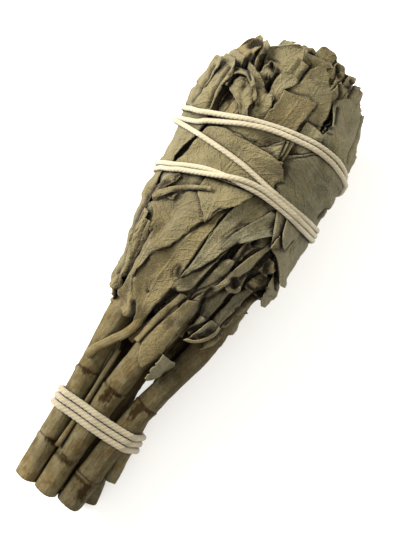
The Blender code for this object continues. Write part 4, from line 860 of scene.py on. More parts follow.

# %% [markdown]
# ## Cracks, hollows and ridges
# Between crumpled leaves there are narrow cracks and small dark hollows, and along folds there are ridges.
# Those that the photograph shows are given here as lines in its millimetres, with a width and a depth. Every
# leaf that such a line crosses is pressed in along it, or lifted where the depth is negative. The lower
# leaves are pressed just as far as the upper ones, so they still lie on each other. How deep a place was
# pressed is kept, because a deep crack is also painted dark in the colour, as shade.

# %% Lines pressed into the leaves
CRACKS = (
    # width, depth, places (side, along)
    (0.45, 0.9, ((-21.2, 93), (-21.4, 88), (-21.2, 83), (-20.6, 77))),
    (0.3, 0.5, ((-20.3, 83), (-19.9, 77), (-18.3, 70), (-16.6, 63), (-15.5, 58))),
    (0.35, 0.8, ((-18.3, 82), (-17.0, 74.5), (-15.8, 68), (-15.0, 60))),
    (0.4, 0.9, ((-15.7, 80.5), (-15.8, 74), (-15.3, 68), (-14.8, 61))),
    (0.22, 0.6, ((1.0, 97.6), (0.2, 95.6), (-2, 95), (-3, 93), (-3.1, 91), (-4.4, 89.3), (-5.2, 87),
                 (-6.6, 83.6), (-8.4, 79.4), (-9.4, 77.8),
                (-11.6, 75.4), (-12.3, 73.6), (-12.5, 70.6), (-13.1, 67), (-13.2, 65.8))),
    (0.25, 0.4, ((-10.2, 95.8), (-7.0, 92.4), (-4.3, 89.2))),
    (0.35, 0.8, ((-20.2, 87.2), (-17.2, 90.0), (-15.4, 92.6), (-12.8, 94.8), (-8.0, 97.6))),
    (0.35, 0.8, ((-20.4, 91.2), (-18.4, 94.4))),
    (0.3, 0.7, ((-17.6, 94.6), (-17.0, 97.4))),
    (0.5, 0.9, ((-15.6, 92.8), (-13.8, 94.2))),
    (0.25, 0.6, ((0.4, 95), (-0.3, 90), (-0.7, 85))),
    (0.35, 0.8, ((-0.7, 85), (-1.0, 80), (-1.2, 76))),
    (0.25, 0.6, ((-4.3, 75.4), (-4.6, 73.4), (-3.8, 71.6), (-2.2, 70.6))),
    (0.7, 1.2, ((-3.1, 74.6), (-2.6, 72.6))),
    (0.3, 0.8, ((-7.8, 64.6), (-7.3, 64.3))),
    (0.3, 0.7, ((4.6, 82.6), (2.4, 78.6), (0.4, 75.6), (-1.6, 72))),
    (0.8, 1.6, ((-1.2, 68.4), (-2.2, 65), (-3.0, 61), (-3.8, 56.5))),
    (0.35, 0.8, ((-1.8, 68.4), (0.4, 68.7), (3.0, 70.8), (3.4, 72.4))),
    (0.35, 0.8, ((2.9, 68), (1.4, 63.6), (0.0, 59), (-1.1, 54.6), (-1.6, 51.6))),
    (0.8, 1.5, ((-9.4, 59.6), (-8.2, 57.6), (-7.9, 54.5), (-8.2, 51))),
    (0.35, 0.8, ((3.5, 73), (4.3, 77), (5.2, 81), (6.2, 85.5))),
    (0.8, 1.4, ((6.8, 86.4), (7.8, 88.8), (8.0, 85.2))),
    (0.5, 1.1, ((10.2, 90.5), (10.4, 86), (10.2, 82.5), (9.6, 79.5))),
    (0.35, 0.8, ((12.6, 93), (11.0, 90.4), (10.8, 87.5), (11.4, 86.2))),
    (0.25, 0.7, ((3.8, 69.6), (4.4, 71.8), (6.8, 74.4), (8.4, 77.8), (9.8, 81.2), (11.2, 84.6))),
    (0.35, 0.9, ((8.0, 69.8), (9.3, 72.6), (10.8, 76.0), (12.4, 79.4), (14.2, 83.2), (15.4, 86.8))),
    (0.75, 1.6, ((11.9, 80), (12.6, 79.2), (13.3, 78.4))),
    (0.5, 1.1, ((15.3, 79), (15.2, 84), (15.5, 88), (16.4, 91.6))),
    (0.8, 1.4, ((16.4, 90.6), (17.8, 88.8), (18.6, 86.6))),
    (0.4, 0.9, ((17.6, 87.8), (19.4, 87.2), (20.6, 84.4))),
    (0.8, 1.6, ((19.4, 81.2), (20.6, 81.0), (21.0, 82.4))),
    (0.5, 1.1, ((16.0, 80.6), (17.6, 80.4), (19.2, 80.6))),
    (0.5, 1.3, ((13.4, 76), (12.9, 71), (12.2, 67))),
    (0.45, 1.2, ((15.8, 67.5), (17.2, 72), (18.3, 77), (18.9, 80))),
    (0.7, 1.2, ((17.4, 58.5), (18.0, 64), (18.4, 71))),
    (0.8, 1.6, ((8.2, 74), (7.4, 71), (8.6, 67.4), (8.2, 64))),
    (0.4, 1.0, ((8.2, 60.5), (9.6, 62.6), (11.6, 65.4), (12.2, 66.8))),
    (0.4, 1.0, ((8.4, 57.2), (11.0, 57.8), (14.2, 60.0), (16.0, 63.0), (16.4, 66.2))),
    (0.3, 0.8, ((16.4, 92.4), (18.6, 90.9), (20.5, 88.4), (22.4, 85.4), (23.6, 83.8))),
    (0.25, 0.6, ((16.6, 98.2), (18.2, 95.4), (19.6, 94.0), (20.2, 95), (20.7, 98))),
    (0.9, 1.8, ((-18.9, 139.2), (-18.2, 140.4), (-17.2, 140.8))),
    (0.7, 1.8, ((-14.4, 140.2), (-13.9, 137.6), (-13.2, 134.6))),
    (0.6, 1.4, ((-17.4, 137), (-17.3, 134.4), (-16.6, 132.8))),
    (0.6, 1.4, ((-10.9, 137.6), (-10.0, 136.6))),
    (0.45, 1.2, ((-8.6, 137.4), (-8.3, 135))),
    (0.6, 1.4, ((-9.6, 133.8), (-8.4, 132.2), (-7.8, 130.4))),
    (0.3, 0.7, ((-12.6, 138.2), (-10.2, 138.9), (-8.6, 138.9))),
    (0.3, 0.8, ((-19.4, 129), (-18.9, 131.4), (-17.2, 132.9), (-15.2, 132.4), (-13.6, 130.8))),
    (0.6, 1.2, ((-18.4, 128.4), (-18.0, 127.2))),
    (0.6, 1.3, ((-18.2, 125.4), (-18.4, 122), (-17.8, 118.6))),
    (0.5, 1.1, ((-16.2, 124.6), (-15.8, 122.8))),
    (0.25, 0.5, ((-15.4, 130), (-14.2, 128.6), (-13.6, 126.6))),
    (0.3, 0.7, ((-11.4, 128.4), (-9.2, 124.6))),
    (0.22, 0.5, ((-5.6, 130.2), (-4.2, 127.8), (-3.6, 125.4))),
    (0.25, 0.5, ((18.6, 139), (19.9, 136.4), (20.7, 133), (21.4, 128), (22.2, 124.4))),
    (0.6, 1.5, ((-2.9, 146.2), (-1.7, 146.0))),
    (0.3, 0.9, ((4.8, 148.0), (4.4, 146), (4.0, 144.2))),
    (0.4, 0.9, ((-1.1, 143), (-1.2, 140.4), (-1.1, 138.2))),
    (0.4, 1.0, ((6.2, 142.6), (6.9, 141.4))),
    (0.4, 1.0, ((5.6, 146.6), (6.6, 145.2), (8.0, 144.4))),
    (0.35, 1.0, ((8.6, 143), (10.2, 141), (10.9, 138.8), (10.9, 136.4), (11.5, 134.2), (12.2, 132.6))),
    (0.6, 1.3, ((11.2, 131.2), (12.4, 130.6), (13.4, 130.8))),
    (0.4, 1.0, ((13.0, 140.8), (13.1, 143.2), (13.0, 144.6))),
    (0.4, 0.9, ((11.0, 145.2), (12.2, 144.0), (12.4, 142))),
    (0.3, 0.8, ((13.8, 132.6), (12.7, 134.6), (11.9, 137))),
    (0.25, 0.5, ((6.4, 135), (6.0, 131), (5.3, 126.6))),
    (0.22, 0.35, ((-4.2, 133.4), (-1.0, 134), (3.0, 135.2), (6.0, 134.8))),
    (0.4, 1.0, ((-7.6, 137.2), (-8.1, 134), (-7.8, 130.6))),
    (0.25, 0.6, ((6.2, 129.4), (8.6, 129.0), (11, 129.6), (12.4, 129.0), (14.4, 129.2))),
    (0.45, 1.0, ((-17.6, 115.4), (-18.4, 110), (-19.4, 104), (-20.6, 98.6))),
    (0.35, 0.8, ((4.2, 121.2), (4.8, 118), (5.2, 115.6))),
    (0.22, 0.4, ((4.6, 121), (2.6, 118.6), (0.4, 116.9), (-1.2, 116.0))),
    (0.25, 0.5, ((-17.0, 114.6), (-12, 115.6), (-8, 115.2), (-2, 116.6), (4, 115.8), (8.4, 114.0),
                 (9.4, 112.4), (9.0, 110), (8, 108.6))),
    (0.25, 0.5, ((6.6, 116.6), (9.0, 118.4), (12, 120.8), (14.8, 123))),
    (0.3, 0.7, ((9.4, 110.6), (8.4, 109.6), (8.4, 107.6))),
    (0.7, 1.4, ((24.3, 110), (24.0, 107.5))),
    (0.35, 0.8, ((-24.6, 129), (-24.2, 122), (-24.4, 117))),
    (0.4, 0.9, ((-20.6, 131), (-20.8, 124), (-20.0, 118))),
    (0.5, -0.25, ((10.2, 99.4), (8.0, 96.2), (6.0, 93.4), (4.4, 90.4), (3.6, 87.4), (3.4, 85.4))),
    (0.5, -0.3, ((-9.4, 75), (-7.4, 71.6), (-6.4, 66.4), (-4.2, 62))),
    (0.5, -0.3, ((-11.4, 72), (-9.6, 67), (-7.6, 62.4))),
)


def away_from_line(side, along, line):
    """Distance of each place to a line, both in the photograph's millimetres."""
    nearest = np.full(len(side), 99.0)
    for (x0, y0), (x1, y1) in zip(line[:-1], line[1:]):
        length = max((x1 - x0) ** 2 + (y1 - y0) ** 2, 1e-6)
        share = np.clip(((side - x0) * (x1 - x0) + (along - y0) * (y1 - y0)) / length, 0, 1)
        nearest = np.minimum(nearest, np.hypot(side - x0 - share * (x1 - x0), along - y0 - share * (y1 - y0)))
    return nearest


crack_lines = [(width, depth, line_through(places, 3 * len(places))) for width, depth, places in CRACKS]
for leaf in laid:
    along_there, across, up = on_head(leaf["along"], leaf["turn"], leaf["height"], leaf["ring"])
    larger = (EYE_UP - PICTURE_UP) / (EYE_UP - up)
    side_seen = EYE_SIDE + (-across - EYE_SIDE) * larger
    along_seen = EYE_ALONG + (along_there - EYE_ALONG) * larger
    facing = eased((np.cos(np.radians(leaf["turn"])) - 0.05) / 0.2)
    side_seen = side_seen + 0.25 * waves(along_seen, side_seen, 2.2, 91)
    along_seen = along_seen + 0.25 * waves(side_seen, along_seen, 2.2, 92)
    pressed = np.zeros(len(up))
    lifted = np.zeros(len(up))
    for width, depth, line in crack_lines:
        near = np.exp(-((away_from_line(side_seen, along_seen, line) / width) ** 2))
        if depth > 0:
            pressed = np.maximum(pressed, depth * near)
        else:
            lifted = np.maximum(lifted, -depth * near)
    # the pressed depth is kept so that deep cracks can be darkened in the colour as painted shade
    leaf["pressed"] = pressed * facing
    leaf["height"] = leaf["height"] + facing * (lifted - pressed)
    set_points(leaf["sheet"], in_frame(*(lambda a, c, u: (a, c, above_table(u)))(
        *on_head(leaf["along"], leaf["turn"], leaf["height"], leaf["ring"]))))
print("deepest crack:", round(float(max(leaf["pressed"].max() for leaf in laid)), 2), "mm")

# %% [markdown]
# ## Tone, dark hollows and thickness
# The hollows of the bundle are painted almost black in the colour, as shade. How hidden a place is can be
# measured: from each point a few rays go out to all sides, and the share that soon meets another leaf says
# how deep it lies. That number is stored on the points as painted shade, together with each leaf's own tone,
# from grey green to tan. The
# same step stores where each point lies on its own leaf, which the veins will follow. Only then does
# Solidify give the sheet its thickness, and the leaves of one part of the head are joined.

# %% How hidden each point is
from mathutils.bvhtree import BVHTree

RAY_LENGTH = 6.0
RAY_START = 0.12
RAYS = 14


def points_of(sheet):
    """A mesh's points and their outward directions."""
    size = len(sheet.data.vertices)
    places, outward = np.zeros(size * 3), np.zeros(size * 3)
    sheet.data.vertices.foreach_get("co", places)
    sheet.data.vertices.foreach_get("normal", outward)
    return places.reshape(-1, 3), outward.reshape(-1, 3)


corners, faces = [], []
for leaf in laid:
    start = len(corners)
    corners.extend(v.co.copy() for v in leaf["sheet"].data.vertices)
    faces.extend(tuple(start + i for i in face.vertices) for face in leaf["sheet"].data.polygons)
leaves_seen = BVHTree.FromPolygons(corners, faces)
golden = math.pi * (3 - math.sqrt(5))
ray_ways = []
for k in range(RAYS):
    rise = 0.12 + 0.85 * k / (RAYS - 1)
    flat = math.sqrt(max(1 - rise * rise, 0))
    ray_ways.append((flat * math.cos(golden * k), flat * math.sin(golden * k), rise))


def hidden_share(sheet):
    """For each point, the share of its rays that soon meet a leaf."""
    places, outward = points_of(sheet)
    hidden = np.zeros(len(places))
    for index, (place, normal) in enumerate(zip(places, outward)):
        normal = Vector(normal)
        aside = normal.orthogonal().normalized()
        other = normal.cross(aside)
        origin = Vector(place) + normal * (RAY_START * MM)
        blocked = 0
        for x, y, z in ray_ways:
            if leaves_seen.ray_cast(origin, aside * x + other * y + normal * z,
                                    RAY_LENGTH * MM)[0] is not None:
                blocked += 1
        hidden[index] = blocked / RAYS
    return hidden


flipped = 0
for leaf in laid:
    places, outward = points_of(leaf["sheet"])
    away = places - in_frame(leaf["along"], -form_at(leaf["along"], leaf["ring"])[2],
                             axis_height(leaf["along"]))
    if (away * outward).sum() < 0:
        leaf["sheet"].data.flip_normals()
        flipped += 1
print("rays from", len(corners), "points; sheets turned over:", flipped)

# %% Finish the leaves
def store_tone(sheet, warmth, light, dark, edge):
    """Keeps four values for each point: warmth, light, darkness, nearness to the rim. The darkness is painted
    shade in hollows, cracks and the twine's grooves; on the bark it also holds the bark's own mottling, scars
    and joints. For some leaves the light also holds painted light and shade.
    """
    tone = sheet.data.color_attributes.new("leaf_tone", "FLOAT_COLOR", "POINT")
    values = np.column_stack((warmth, light, dark, edge)).astype(np.float32)
    tone.data.foreach_set("color", values.ravel())


def store_place(sheet, s, t):
    """Keeps each point's place on its own leaf, in centimetres, as the leaf's UV map."""
    layer = sheet.data.uv_layers.active or sheet.data.uv_layers.new(name="UVMap")
    corner = np.zeros(len(sheet.data.loops), int)
    sheet.data.loops.foreach_get("vertex_index", corner)
    layer.data.foreach_set("uv", np.column_stack((s, t))[corner].astype(np.float32).ravel() * 0.1)


def select_only(*things):
    """Selects these objects and nothing else."""
    bpy.ops.object.select_all(action="DESELECT")
    for thing in things:
        thing.select_set(True)
    bpy.context.view_layer.objects.active = things[0]


def thicken(sheet, thickness):
    """Gives a sheet its thickness, inwards from the side that shows."""
    select_only(sheet)
    wall = sheet.modifiers.new("thickness", "SOLIDIFY")
    wall.thickness = thickness * MM
    wall.offset = -1
    bpy.ops.object.modifier_apply(modifier=wall.name)
    bpy.ops.object.shade_smooth()


BARK_BELOW = 66.0  # below this the leaves' feet take the colour of the stems
BETWEEN_VEINS = (0.41, 0.5)  # a leaf stalk has no veins, so all of it is given one place between two
for leaf in laid:
    warmth, light = leaf["tone"]
    # painted shade: points that other leaves hide from the rays, and places pressed into deep cracks, are
    # darkened in the colour
    dark = 0.97 * eased((hidden_share(leaf["sheet"]) - (0.1 if leaf["ring"] is None else 0.3)) / 0.5)
    dark = np.maximum(dark, 0.97 * eased(leaf["pressed"] / 0.8))
    edge = eased((np.abs(leaf["b"]) - 0.8) / 0.2)
    mottled = waves(leaf["s"], leaf["t"], 5.0, leaf["seed"] + 9)
    like_bark = eased((BARK_BELOW - leaf["along"]) / 10) * (warmth > 0.15)
    warmth = warmth + 0.18 * mottled + (1 - warmth) * like_bark
    light = light * (1 - 0.5 * like_bark)
    store_tone(leaf["sheet"], np.clip(warmth, 0, 1), 0.5 + 0.5 * light, dark, edge)
    if "stalk" in leaf["sheet"].name:
        store_place(leaf["sheet"], np.full(len(light), BETWEEN_VEINS[0]),
                    np.full(len(light), BETWEEN_VEINS[1]))
    else:
        store_place(leaf["sheet"], leaf["s"] + leaf["seed"] * 13.0, leaf["t"])
    thicken(leaf["sheet"], LEAF_THICK)

leaf_groups = []
for group in group_names:
    members = [leaf["sheet"] for leaf in laid if leaf["group"] == group]
    select_only(*members)
    bpy.ops.object.join()
    joined = bpy.context.object
    joined.name = group
    leaf_groups.append(joined)
    print(group, "has", len(members), "leaves and", len(joined.data.polygons) * 2, "triangles")

# %% [markdown]
# ## Rods: stems, petioles and string
# A stem, a leaf stalk and a piece of twine are long and round. Each starts as a flat grid too. The grid is
# rolled round a middle line, its seam is welded, and its first and last rows run in to a point, which closes
# the ends. A function gives the radius at each row and angle, and that is where bark, joints and the three
# strands of the twine come from.

# %% Roll a grid into a rod
def spaced_line(points, step):
    """Places evenly apart on a smooth line in space."""
    points = np.array(points, float)
    run = np.r_[0, np.cumsum(np.linalg.norm(np.diff(points, axis=0), axis=1))]
    count = max(int(run[-1] / step), 4)
    return smooth_through(np.column_stack((run, points)), np.linspace(0, run[-1], count))


def rod(name, line, radius_at, sides, cap=(0.0, 0.55, 0.86)):
    """A closed rod round a line. radius_at(run, angle) gives radii for arrays of places."""
    run = np.r_[0, np.cumsum(np.linalg.norm(np.diff(line, axis=0), axis=1))]
    ahead = np.gradient(line, axis=0)
    ahead /= np.linalg.norm(ahead, axis=1)[:, None]
    right = np.zeros_like(line)
    first = np.cross(ahead[0], (0.05, 0.1, 1.0))
    right[0] = first / np.linalg.norm(first)
    for i in range(1, len(line)):
        aside = right[i - 1] - ahead[i] * np.dot(right[i - 1], ahead[i])
        right[i] = aside / np.linalg.norm(aside)
    upward = np.cross(right, ahead)
    rows = len(line) + 2 * len(cap)
    place = np.r_[np.zeros(len(cap), int), np.arange(len(line)), np.full(len(cap), len(line) - 1)]
    share = np.r_[cap, np.ones(len(line)), cap[::-1]]
    pipe, a, b = flat_sheet(name, rows - 1, sides)
    i = np.rint(a * (rows - 1)).astype(int)
    j = np.rint((b + 1) / 2 * sides).astype(int)
    angle = 2 * math.pi * (j % sides) / sides
    radius = radius_at(run[place[i]], angle) * share[i]
    spot = line[place[i]] + right[place[i]] * (radius * np.cos(angle))[:, None]
    spot = spot + upward[place[i]] * (radius * np.sin(angle))[:, None]
    set_points(pipe, in_frame(spot[:, 0], spot[:, 1], spot[:, 2]))
    return pipe, run[place[i]], angle, j / sides, share[i]


def close_rod(pipe):
    """Welds the seam and the ends, and turns the faces outwards."""
    select_only(pipe)
    bpy.ops.object.mode_set(mode="EDIT")
    bpy.ops.mesh.select_all(action="SELECT")
    bpy.ops.mesh.remove_doubles(threshold=1e-7)
    bpy.ops.mesh.normals_make_consistent(inside=False)
    bpy.ops.object.mode_set(mode="OBJECT")
    bpy.ops.object.shade_smooth()


print("rods ready")

# %% [markdown]
# ## Cut stems
# The stems are squarish, as in all sages, with fine lengthwise ribs in the bark, rings where leaf pairs once
# grew, and dark scars where a leaf or a strip of bark came away. Each follows the same middle line as its
# solid.

# %% Stems
STEMS = {
    "stem_left": (3.45, 3.35, ((-1.0, -10.4, 2.9), (25, -10.5, 2.9), (50, -11.1, 3.6), (76, -11.2, 4.6))),
    "stem_middle": (3.8, 3.55, ((-1.4, -3.4, 3.6), (25, -2.1, 3.9), (50, 0.8, 6.6), (67, 3.9, 10.4),
                                (80, 6.6, 11.4))),
    "stem_right": (3.85, 3.1, ((-1.2, 4.3, 3.0), (25, 7.2, 3.4), (39, 9.9, 3.5), (50, 12.7, 3.6),
                               (62, 14.9, 3.4), (76, 15.2, 3.0))),
    "stem_back_left": (2.9, 2.8, ((4.0, -6.6, -4.7), (26, -6.2, -3.7), (50, -5.6, -4.6), (76, -6.5, -9.0))),
    "stem_back_middle": (2.6, 2.5, ((0.5, 9.2, -4.4), (8, 8.0, -5.0), (16, 5.2, -4.8), (22, 3.6, -4.2),
                                    (30, 3.0, -4.0), (42, 2.2, -4.6), (76, 2.2, -10.0))),
    "stem_back_right": (2.3, 2.2, ((10.1, 11.2, -1.0), (26, 10.3, -2.6), (42, 9.6, -4.4), (76, 10.0, -8.6))),
    "side_twig": (0.75, 0.75, ((12.5, -7.0, 6.4), (25, -6.3, 5.4), (38, -6.1, 5.2), (46, -6.0, 5.3))),
}
STEM_JOINTS = {
    "stem_left": (12.5, 35.8), "stem_middle": (10.9, 35.4), "stem_right": (8.4, 35.9),
    "stem_back_left": (18.0, 44.0), "stem_back_middle": (15.0, 40.0), "stem_back_right": (21.0, 47.0),
}
STEM_LIGHT = {"stem_left": 0.5, "stem_middle": 0.2, "stem_right": -0.1, "side_twig": 0.6,
              "stem_back_right": 0.6}
FLARE = {"stem_right": 0.4, "stem_middle": 0.7, "stem_left": 0.3}
# scar: middle along, middle turn on the stem in degrees (90 is up), half length, half turn
SCARS = {
    "stem_left": ((13.2, 60, 0.7, 30), (36.6, 85, 0.8, 26)),
    "stem_middle": ((10.7, 95, 0.9, 75), (34.2, 100, 2.7, 24), (36.0, 60, 0.5, 34)),
    "stem_right": ((5.6, 60, 2.6, 18), (8.0, 90, 0.5, 60), (33.6, 110, 3.0, 22), (36.2, 80, 0.6, 40)),
}


def stem_line(points, step):
    """The middle line of a stem, from (along, side, up from the axis)."""
    along = np.arange(points[0][0], points[-1][0], step)
    side, up = smooth_through(points, along).T
    return np.column_stack((along, -side, axis_height(along) + up))


stem_pieces = []
for number, (name, (end_radius, inner_radius, points)) in enumerate(STEMS.items()):
    thin = end_radius < 1
    line = stem_line(points, 0.45)
    joints = STEM_JOINTS.get(name, ())
    scars = SCARS.get(name, ())

    def bark_radius(run, angle, name=name, number=number, end_radius=end_radius, inner_radius=inner_radius,
                    line=line,
                    joints=joints, scars=scars, thin=thin):
        along = line[0][0] + run
        radius = end_radius + (inner_radius - end_radius) * np.clip(run / 50, 0, 1)
        radius = radius + FLARE.get(name, 0) * eased((along - 46) / 12)
        if thin:
            return radius * (1 + 0.12 * waves(run, angle * 2, 4.0, number))
        square = 0.045 * np.cos(4 * angle + 0.5 + number)
        ribs = 0.05 * np.sin(angle * 14 + 1.2 * waves(run, angle, 9.0, number) * 4)
        lumps = 0.3 * waves(run, np.sin(angle) * 4, 9.0, number + 20) + 0.09 * waves(run,
            np.sin(angle) * 5 + angle, 2.4, number + 30)
        radius = radius * (1 + square) + ribs + lumps
        for joint in joints:
            near = np.abs(along - joint - 0.5 * np.sin(2 * angle + number))
            ridge = 0.55 + 0.45 * waves(angle * 3, joint, 1.3, number + 44)
            radius = radius + ridge * (0.34 * np.exp(-(near / 0.5) ** 2) + 0.14 * np.exp(-(near / 2.0) ** 2))
            radius = radius - 0.25 * ridge * np.exp(-((along - joint - 1.0) / 0.35) ** 2)
        for middle, turn, half_length, half_turn in scars:
            around = (np.degrees(angle) - turn + 180) % 360 - 180
            inside = np.exp(-((along - middle) / half_length) ** 4 - (around / half_turn) ** 4)
            radius = radius - inside * (0.35 + 0.2 * waves(run, angle * 4, 0.9, number + 40))
        radius = radius * (1 - 0.06 * np.exp(-run / 0.5))
        return radius

    sides = 14 if thin else 56
    pipe, run, angle, around, share = rod(name + "_bark", line, bark_radius, sides)
    along = line[0][0] + run
    dark = 0.12 + 0.3 * waves(run, angle * 2, 6.0, number + 50) + 0.2 * waves(run, angle * 5, 1.8,
        number + 55)
    for middle, turn, half_length, half_turn in scars:
        away = (np.degrees(angle) - turn + 180) % 360 - 180
        rough = 1 + 0.5 * waves(run, angle * 6, 0.8, number + 60)
        fading = -((along - middle) / half_length * rough) ** 4 - (away / half_turn * rough) ** 4
        dark = dark + 1.1 * np.exp(fading)
    for joint in joints:
        dark = dark + (0.7 + 0.6 * waves(angle * 3, joint, 1.3,
                                         number + 44)) * np.exp(-((along - joint - 1.0) / 0.3) ** 2)
    # painted shade: the back stems grow darker towards the head, where they lie under it
    if "back" in name:
        dark = dark + 0.7 * eased((along - 34) / 14)
    warmth = 0.5 + 0.5 * waves(run, angle * 1.5, 14.0, number + 70) - (0.35 if "back" in name else 0)
    light = np.full(len(run), STEM_LIGHT.get(name, 0.1))
    light = np.where(share < 1, light + 0.3, light)
    store_tone(pipe, np.clip(warmth, 0, 1), light, np.clip(dark, 0, 1), np.clip(1 - share, 0, 1))
    store_place(pipe, run, around * 2 * math.pi * 3)
    close_rod(pipe)
    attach(pipe, "root")
    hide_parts(name)
    stem_pieces.append(pipe)
    print(name, "bark:", len(pipe.data.polygons), "faces")

# %% [markdown]
# ## Leaf stalks
# Two bare leaf stalks cross the stems and run into the head, and a darker one lies behind, between the middle
# and the right stem, so that no floor shows there; its dark colour is painted shade. They are thin tapering
# rods, a little flattened.

# %% Stalks
STALKS = (
    ("stalk_left", 1.2, 1.05, ((40.0, -12.9, 6.4), (43.5, -11.6, 7.6), (47, -9.4, 8.0), (51, -6.8, 8.6),
                               (54.5, -5.4, 9.2), (60, -5.4, 10.4))),
    ("stalk_middle", 1.15, 0.9, ((50.2, -4.4, 6.6), (52.5, -3.7, 7.4), (57, -2.0, 8.8), (62, -0.4, 10.6))),
    ("stalk_behind", 1.1, 1.3, ((1.4, 0.6, 0.4), (12, 1.3, 0.7), (25, 2.0, 0.4), (40, 3.6, -0.2),
                                (58, 6.0, 0.5))),
)
# the third stalk's darkness is painted shade of the gap between the middle and the right stem
STALK_DARK_AND_SHADE = (0.12, 0.12, 0.75)
stalk_pieces = []
for number, (name, first_radius, last_radius, points) in enumerate(STALKS):
    line = spaced_line([(p[0], -p[1], float(axis_height(p[0])) + p[2]) for p in points], 0.5)

    def stalk_radius(run, angle, number=number, first_radius=first_radius, last_radius=last_radius):
        radius = first_radius + (last_radius - first_radius) * np.clip(run / 20, 0, 1)
        return radius * (1 + 0.14 * np.cos(2 * angle) + 0.12 * waves(run, angle * 2, 3.0, number + 80))

    pipe, run, angle, around, share = rod(name, line, stalk_radius, 18)
    store_tone(pipe, 0.7 + 0.2 * waves(run, angle, 4.0, number), np.full(len(run), 0.7),
               np.full(len(run), STALK_DARK_AND_SHADE[number]), 1 - share)
    store_place(pipe, run + 40, around * 6)
    close_rod(pipe)
    stalk_pieces.append(pipe)
select_only(*stalk_pieces)
bpy.ops.object.join()
stalks = bpy.context.object
stalks.name = "leaf_stalks"
print("stalks:", len(stalks.data.polygons), "faces")

# %% [markdown]
# ## The dark middle
# Behind all these leaves the bundle is packed. A dark core a little below the skin closes every chink, so
# that no light shows through. Its near-black colour is painted shade of the packed inside. It is a ball at
# first, and its points are then moved to the head's form.

# %% Core of the head
CORE_BELOW = 2.6
bpy.ops.mesh.primitive_uv_sphere_add(segments=72, ring_count=48, radius=1)
core = bpy.context.object
core.name = "packed_middle"
ball = np.zeros(len(core.data.vertices) * 3)
core.data.vertices.foreach_get("co", ball)
ball = ball.reshape(-1, 3)
core_along = 57 + (137 - 57) * (1 - np.arccos(np.clip(ball[:, 2], -1, 1)) / math.pi)
core_turn = np.degrees(np.arctan2(ball[:, 1], ball[:, 0]))
closing = np.sqrt(np.clip(1 - np.abs(ball[:, 2]) ** 10, 0,
                          1)) * np.clip(1 - ((core_along - 118) / 21).clip(0, 1) ** 2, 0, 1) ** 0.5
wide, high, lean = form_at(core_along)
bumps = 0.5 * waves(core_along, core_turn / 3, 3.0, 5)
across = -lean - (wide - CORE_BELOW + bumps) * closing * np.sin(np.radians(core_turn))
up = axis_height(core_along) + (high - CORE_BELOW + bumps) * closing * np.cos(np.radians(core_turn))
set_points(core, in_frame(core_along, across, above_table(up)))
# painted shade: the core is coloured near black, as the inside of the bundle lies in shade
store_tone(core, np.full(len(ball), 0.5), np.full(len(ball), 0.2), np.full(len(ball), 0.85),
           np.zeros(len(ball)))
close_rod(core)
print("core faces:", len(core.data.polygons))

# %% [markdown]
# ## Twisted string
# The string is soft cotton of three strands, a little under 2 mm thick. It was pulled tight, so it bridges
# hollows in straight runs and presses into leaves. Its middle line is found from the map of heights, and the
# rod's radius then gets three lobes that turn once every 4 mm. Where it crosses itself it lies on top.

# %% String lines
TWIST = 4.1
STRAND_RADIUS = 0.55
STRAND_OUT = 0.19
STEM_STRING_THICKER = 1.3
PRESSED_IN = 0.45


def strand_radius(run, angle):
    """Outline of three touching strands that turn as the string runs on."""
    around = (angle - 2 * math.pi * run / TWIST) % (2 * math.pi / 3)
    away = np.minimum(around, 2 * math.pi / 3 - around)
    radius = STRAND_OUT * np.cos(away) + np.sqrt(STRAND_RADIUS**2 - (STRAND_OUT * np.sin(away)) ** 2)
    return radius + 0.02 * waves(run * 2, angle * 2, 0.5, 3)


def groove_depth(run, angle):
    """1 in the grooves between the strands, 0 on their backs."""
    around = (angle - 2 * math.pi * run / TWIST) % (2 * math.pi / 3)
    away = np.minimum(around, 2 * math.pi / 3 - around) / (math.pi / 3)
    return np.clip((away - 0.55) / 0.45, 0, 1)


def tightened(reach, free, step_degrees):
    """The reach of a string pulled tight over a surface, bridging each hollow in a straight line."""
    chord = 2 * math.cos(math.radians(step_degrees))
    for _ in range(400):
        bridge = chord * free[:-2] * free[2:] / (free[:-2] + free[2:])
        free[1:-1] = np.maximum(reach[1:-1], bridge)
    return free


def knot_line(start, ahead, outward, sideways):
    """An overhand knot and a short tail, from the knot's own curve."""
    points = []
    for k in range(49):
        t = math.pi * (1 + 2 * k / 48)
        x = math.sin(t) + 2 * math.sin(2 * t) + 2.6 * (k / 48 - 0.5) + 3.2
        y = math.cos(t) - 2 * math.cos(2 * t) + 3
        z = 1 - math.sin(3 * t)
        points.append(start + (ahead * x + sideways * y + outward * z) * 0.9)
    end = points[-1]
    points += [end + ahead * 2 + outward * 0.1, end + ahead * 4 - outward * 0.3]
    return np.array(points)


turns = way_turns
wide, high, lean = form_at(way_along)
a = np.radians(turns)
base_reach = np.hypot(wide * np.sin(a), high * np.cos(a))
surface = read_map(softened(widened(heap, 1), 1), way_along, (turns + 180) % 360 - 180)
reach = base_reach + surface + STRING_RADIUS - PRESSED_IN
free = tightened(reach, reach.copy(), 2.0)
lift = free - base_reach
mean_r = (wide + high) / 2
for i in range(len(turns)):
    earlier = np.arange(0, max(i - 90, 0))
    if len(earlier) == 0:
        continue
    around = np.radians((turns[earlier] - turns[i] + 180) % 360 - 180) * mean_r[i]
    apart = np.hypot(around, way_along[earlier] - way_along[i])
    near = apart < 1.3
    if near.any():
        need = lift[earlier[near]] + np.sqrt(1.4**2 - apart[near] ** 2) * 0.85
        lift[i] = max(lift[i], need.max())
free = tightened(base_reach + lift, base_reach + lift, 2.0)
lift = free - base_reach
along_there, across, up = on_head(way_along, turns, lift)
head_line = np.column_stack((along_there, across, np.maximum(up, STRING_RADIUS)))
ahead = head_line[-1] - head_line[-4]
ahead /= np.linalg.norm(ahead)
